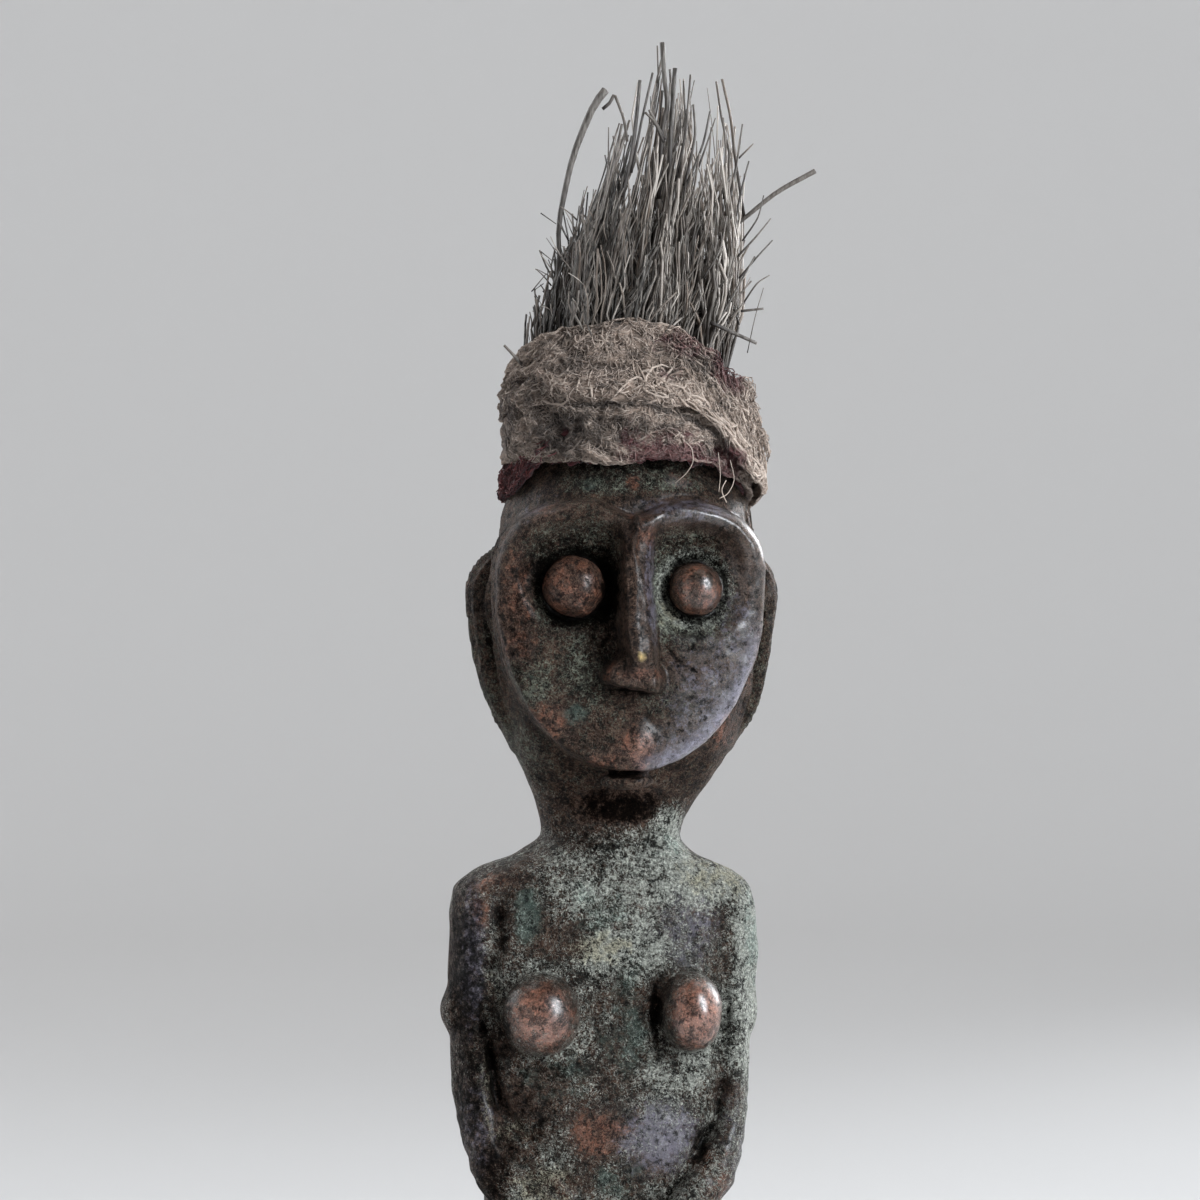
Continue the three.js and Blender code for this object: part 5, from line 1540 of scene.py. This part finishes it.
# Each batch: how many places, strands at each, their turns and shares, the spread round a place, then the
# strands' length, lift and stray.
rng = np.random.default_rng(71)
upper_fluff = put_strands("upper_grey_fluff", GREY_CLOTH, rng, (0.045, 0.11), (
    (4600, 1, SECOND_TURN, (0, 1), 0, (0.5, 1.7), (0.0, 0.14), 0.35),
    (90, 12, SECOND_TURN, (0, 1), 0.45, (0.5, 1.5), (0.05, 0.4), 1.2),
    (60, 14, TORN_EDGE, (0.5, 1.0), 0.5, (0.7, 2.2), (0.1, 1.3), 1.4),
), FLUFF_SIDES)
lower_fluff = put_strands("lower_grey_fluff", GREY_CLOTH, rng, (0.045, 0.11), (
    (2500, 1, FRONT_OF_FIRST, (0, 0.85), 0, (0.5, 1.7), (0.0, 0.14), 0.3),
    (50, 12, FRONT_OF_FIRST, (0, 0.7), 0.45, (0.5, 1.5), (0.05, 0.4), 1.2),
), FLUFF_SIDES)
locks = put_strands("matted_locks", GREY_CLOTH, rng, (0.08, 0.19), (
    (330, 1, SECOND_TURN, (0, 1), 0, (1.6, 4.0), (-0.12, 0.12), 0.3),
    (150, 1, FRONT_OF_FIRST, (0, 0.8), 0, (1.6, 4.0), (-0.12, 0.12), 0.25),
    (110, 1, ROLL, (0.0, 0.3), 0, (1.8, 4.6), (-0.05, 0.3), 0.3),
    (26, 4, TORN_EDGE, (0.5, 0.95), 0.6, (1.0, 2.4), (0.0, 1.0), 1.2),
), LOCK_SIDES, 6)
rng = np.random.default_rng(81)
red_fluff = put_strands("red_fluff", RED_CLOTH, rng, (0.06, 0.13), (
    (900, 1, (0, 1), (0.0, 0.6), 0, (0.6, 2.0), (0.0, 0.2), 0.9),
    (60, 12, (0.15, 0.36), (0.0, 0.45), 0.5, (0.7, 2.2), (0.1, 1.2), 1.6),
), FLUFF_SIDES)

LOOSE_THREADS = (
    # thickness, then the places passed
    (0.10, ((6.9, -15.5, 148.6), (7.9, -16.1, 147.4), (8.0, -16.2, 146.2), (7.4, -15.6, 144.8),
            (6.2, -14.4, 143.6))),
    (0.08, ((11.4, -13.6, 147.2), (11.6, -13.8, 144.6), (11.5, -13.4, 142.6))),
    (0.10, ((13.2, -11.4, 146.4), (13.6, -11.8, 144.2), (12.8, -11.6, 142.4), (11.8, -12.2, 141.9))),
    (0.12, ((12.6, -12.0, 144.0), (12.0, -12.6, 142.8), (12.6, -12.4, 141.4))),
)
thread_paths = np.stack([smooth_path(places, THREAD_STATIONS) for _, places in LOOSE_THREADS])
thread_radii = np.stack([np.full(THREAD_STATIONS, thickness / 2) for thickness, _ in LOOSE_THREADS])
thread_tones = np.full(len(LOOSE_THREADS), 0.95)
loose_threads = put_tubes("loose_threads", thread_paths, thread_radii, THREAD_SIDES, thread_tones)

# %% [markdown]
# Old cotton carries several colours: grey where dust lies, brown where it is matted, maroon where the red
# cloth has bled into it. The stains are painted by place, and so is a shadow under the fold and in the
# pits. The valleys between the folds are painted darker as shade and the ridges paler as lit, by the
# height of the relief.

# %% The cloth materials
def maroon_places(points):
    """How far the red has bled into the grey cloth."""
    return any_spot(points, (
        (1.0, 6.0, -14, 147.0, 6.5, 4, 1.5), (0.8, 13.0, -10, 146.0, 3.0, 5, 2.6),
        (0.6, 1.0, -15, 148.4, 1.2, 3, 2.6), (0.5, 6.5, -14.5, 149.0, 3.5, 3, 1.2),
        (1.0, 13.8, -9, 157.6, 3.2, 5, 3.4), (0.6, 8.5, -12, 160.0, 4.5, 4, 2.0),
        (0.4, 5.8, -14, 156.6, 1.6, 3, 1.2), (0.6, 4, 15, 147, 9, 3, 2.5),
    ))


# The line under the second turn's fold, where a shadow is painted.
FOLD_LINE = ((-5.1, 152.6), (3.0, 152.6), (7.9, 151.2), (11.4, 149.4), (14.2, 146.7))


def brown_and_painted_shade_places(points):
    """Where the cloth is darkened: matted brown over most of the lower turn at the figure's right, and
    painted shadow along the line under the fold and round the pits."""
    fold = hill(line_distance(points[:, 0], points[:, 2], FOLD_LINE), 0.45) * ramp(points[:, 1], -5, -7)
    return np.maximum(fold, any_spot(points, (
        (0.75, 0.5, -14, 149.6, 7, 4, 2.0), (1.0, -7.6, -12, 149.6, 6.4, 5, 3.0),
        (0.5, -10.4, -9, 153.4, 2.6, 5, 3.4), (0.5, -3, -13.5, 150.8, 5, 4, 1.2),
        (0.8, -6.8, -11, 157.6, 3.0, 4, 1.2), (0.7, -12.4, -3, 151, 3, 6, 5),
        (0.7, 9.5, -12, 157.6, 3, 4, 1.6), (0.7, -0.9, -14, 159.9, 1.0, 3, 0.8),
        (0.8, 12.4, -10, 158.0, 2.4, 4, 2.0), (0.6, 14, 6, 152, 6, 6, 6), (0.6, 0, 14, 156, 8, 4, 3),
        (0.5, 5.8, -14, 156.6, 1.4, 3, 1.0), (0.4, 6, -14, 150.4, 6, 3, 0.7),
    )))


def make_cloth(name, dark, middle, pale, dusty):
    """Mottled cloth: valleys painted dark as shade and ridges pale as lit, broad stains, a grain along the
    winding, and strands from dark to dusty by their own random number."""
    material, tree, shader, place = new_material(name)
    flat = node(tree, "Mapping", {"Vector": place, "Scale": (0.5, 0.5, 1.5)})
    thread = grains(flat, 2000.0, 0.5, 0.25, 0.8)
    high = level(tree, "height")
    # Painted shade and light: dark in the relief's valleys and pale on its ridges, where the pale threads
    # and dusty strands also show.
    colour = blend(high, dark, middle)
    colour = blend(grains(place, 320.0, 0.5, 0.35, 0.75) * 0.5, colour, dark)
    colour = blend(thread * high * 0.8, colour, pale)
    colour = blend(level(tree, "strand") * high * 0.9, colour, dusty)
    # Matted brown, with painted shadow along the line under the fold and in the pits.
    colour = blend(grains(place, 700.0, level(tree, "brown_and_painted_shade") * 0.85, 0.4, 0.7) * 0.8, colour, dark)
    colour = blend(grains(flat, 560.0, 0.27, 0.1, 0.8) * 0.6, colour, dark)
    bled = grains(place, 900.0, level(tree, "maroon") * 0.95, 0.35, 0.7)
    fill(shader, {
        "Base Color": blend(bled * 0.85, colour, (88, 42, 45)),
        "Normal": bumps(thread["Noise"], 0.9, 0.0002),
        "Roughness": 0.95,
        "Sheen Weight": 0.15,
        "Sheen Roughness": 0.5,
    })
    return material


grey_cotton = make_cloth(
    "felted_grey_cotton", (40, 29, 21), (144, 124, 109), (192, 171, 156), (216, 199, 185))
red_cotton = make_cloth("faded_red_cotton", (26, 9, 12), (96, 36, 42), (118, 56, 58), (140, 76, 72))


def dress(piece, material, centres, heights, stained):
    """The material, and the three numbers that it reads at each point."""
    piece.data.materials.append(material)
    paint(piece, "height", heights)
    if stained:
        paint(piece, "maroon", maroon_places(centres))
        paint(piece, "brown_and_painted_shade", brown_and_painted_shade_places(centres))


turns_at, shares_at = np.meshgrid(
    np.linspace(0, STRIP_TURNS, STRIP_STATIONS), np.linspace(0, 1, STRIP_ROWS), indexing="ij")
relief = felt_height(turns_at, shares_at)
dress(grey_strip, grey_cotton, strip_loop, np.concatenate([relief, relief[:, ::-1]], 1), True)
dress(red_strip, red_cotton, red_loop, np.clip(0.45 + 0.9 * lumps(red_loop, 0.9, 64), 0, 1), False)
felted = (upper_fluff, FLUFF_SIDES), (lower_fluff, FLUFF_SIDES), (locks, LOCK_SIDES)
for (piece, paths, starts), sides in felted:
    heights = 0.35 + 0.65 * felt_height(starts[:, 0], starts[:, 1])
    dress(piece, grey_cotton, tube_centres(paths, sides), per_tube(heights, paths, sides), True)
red_heights = np.random.default_rng(83).uniform(0.1, 1.0, len(red_fluff[1]))
dress(red_fluff[0], red_cotton, None, per_tube(red_heights, red_fluff[1], FLUFF_SIDES), False)
dress(loose_threads, grey_cotton, None, np.full(len(tube_centres(thread_paths, THREAD_SIDES)), 0.9), False)
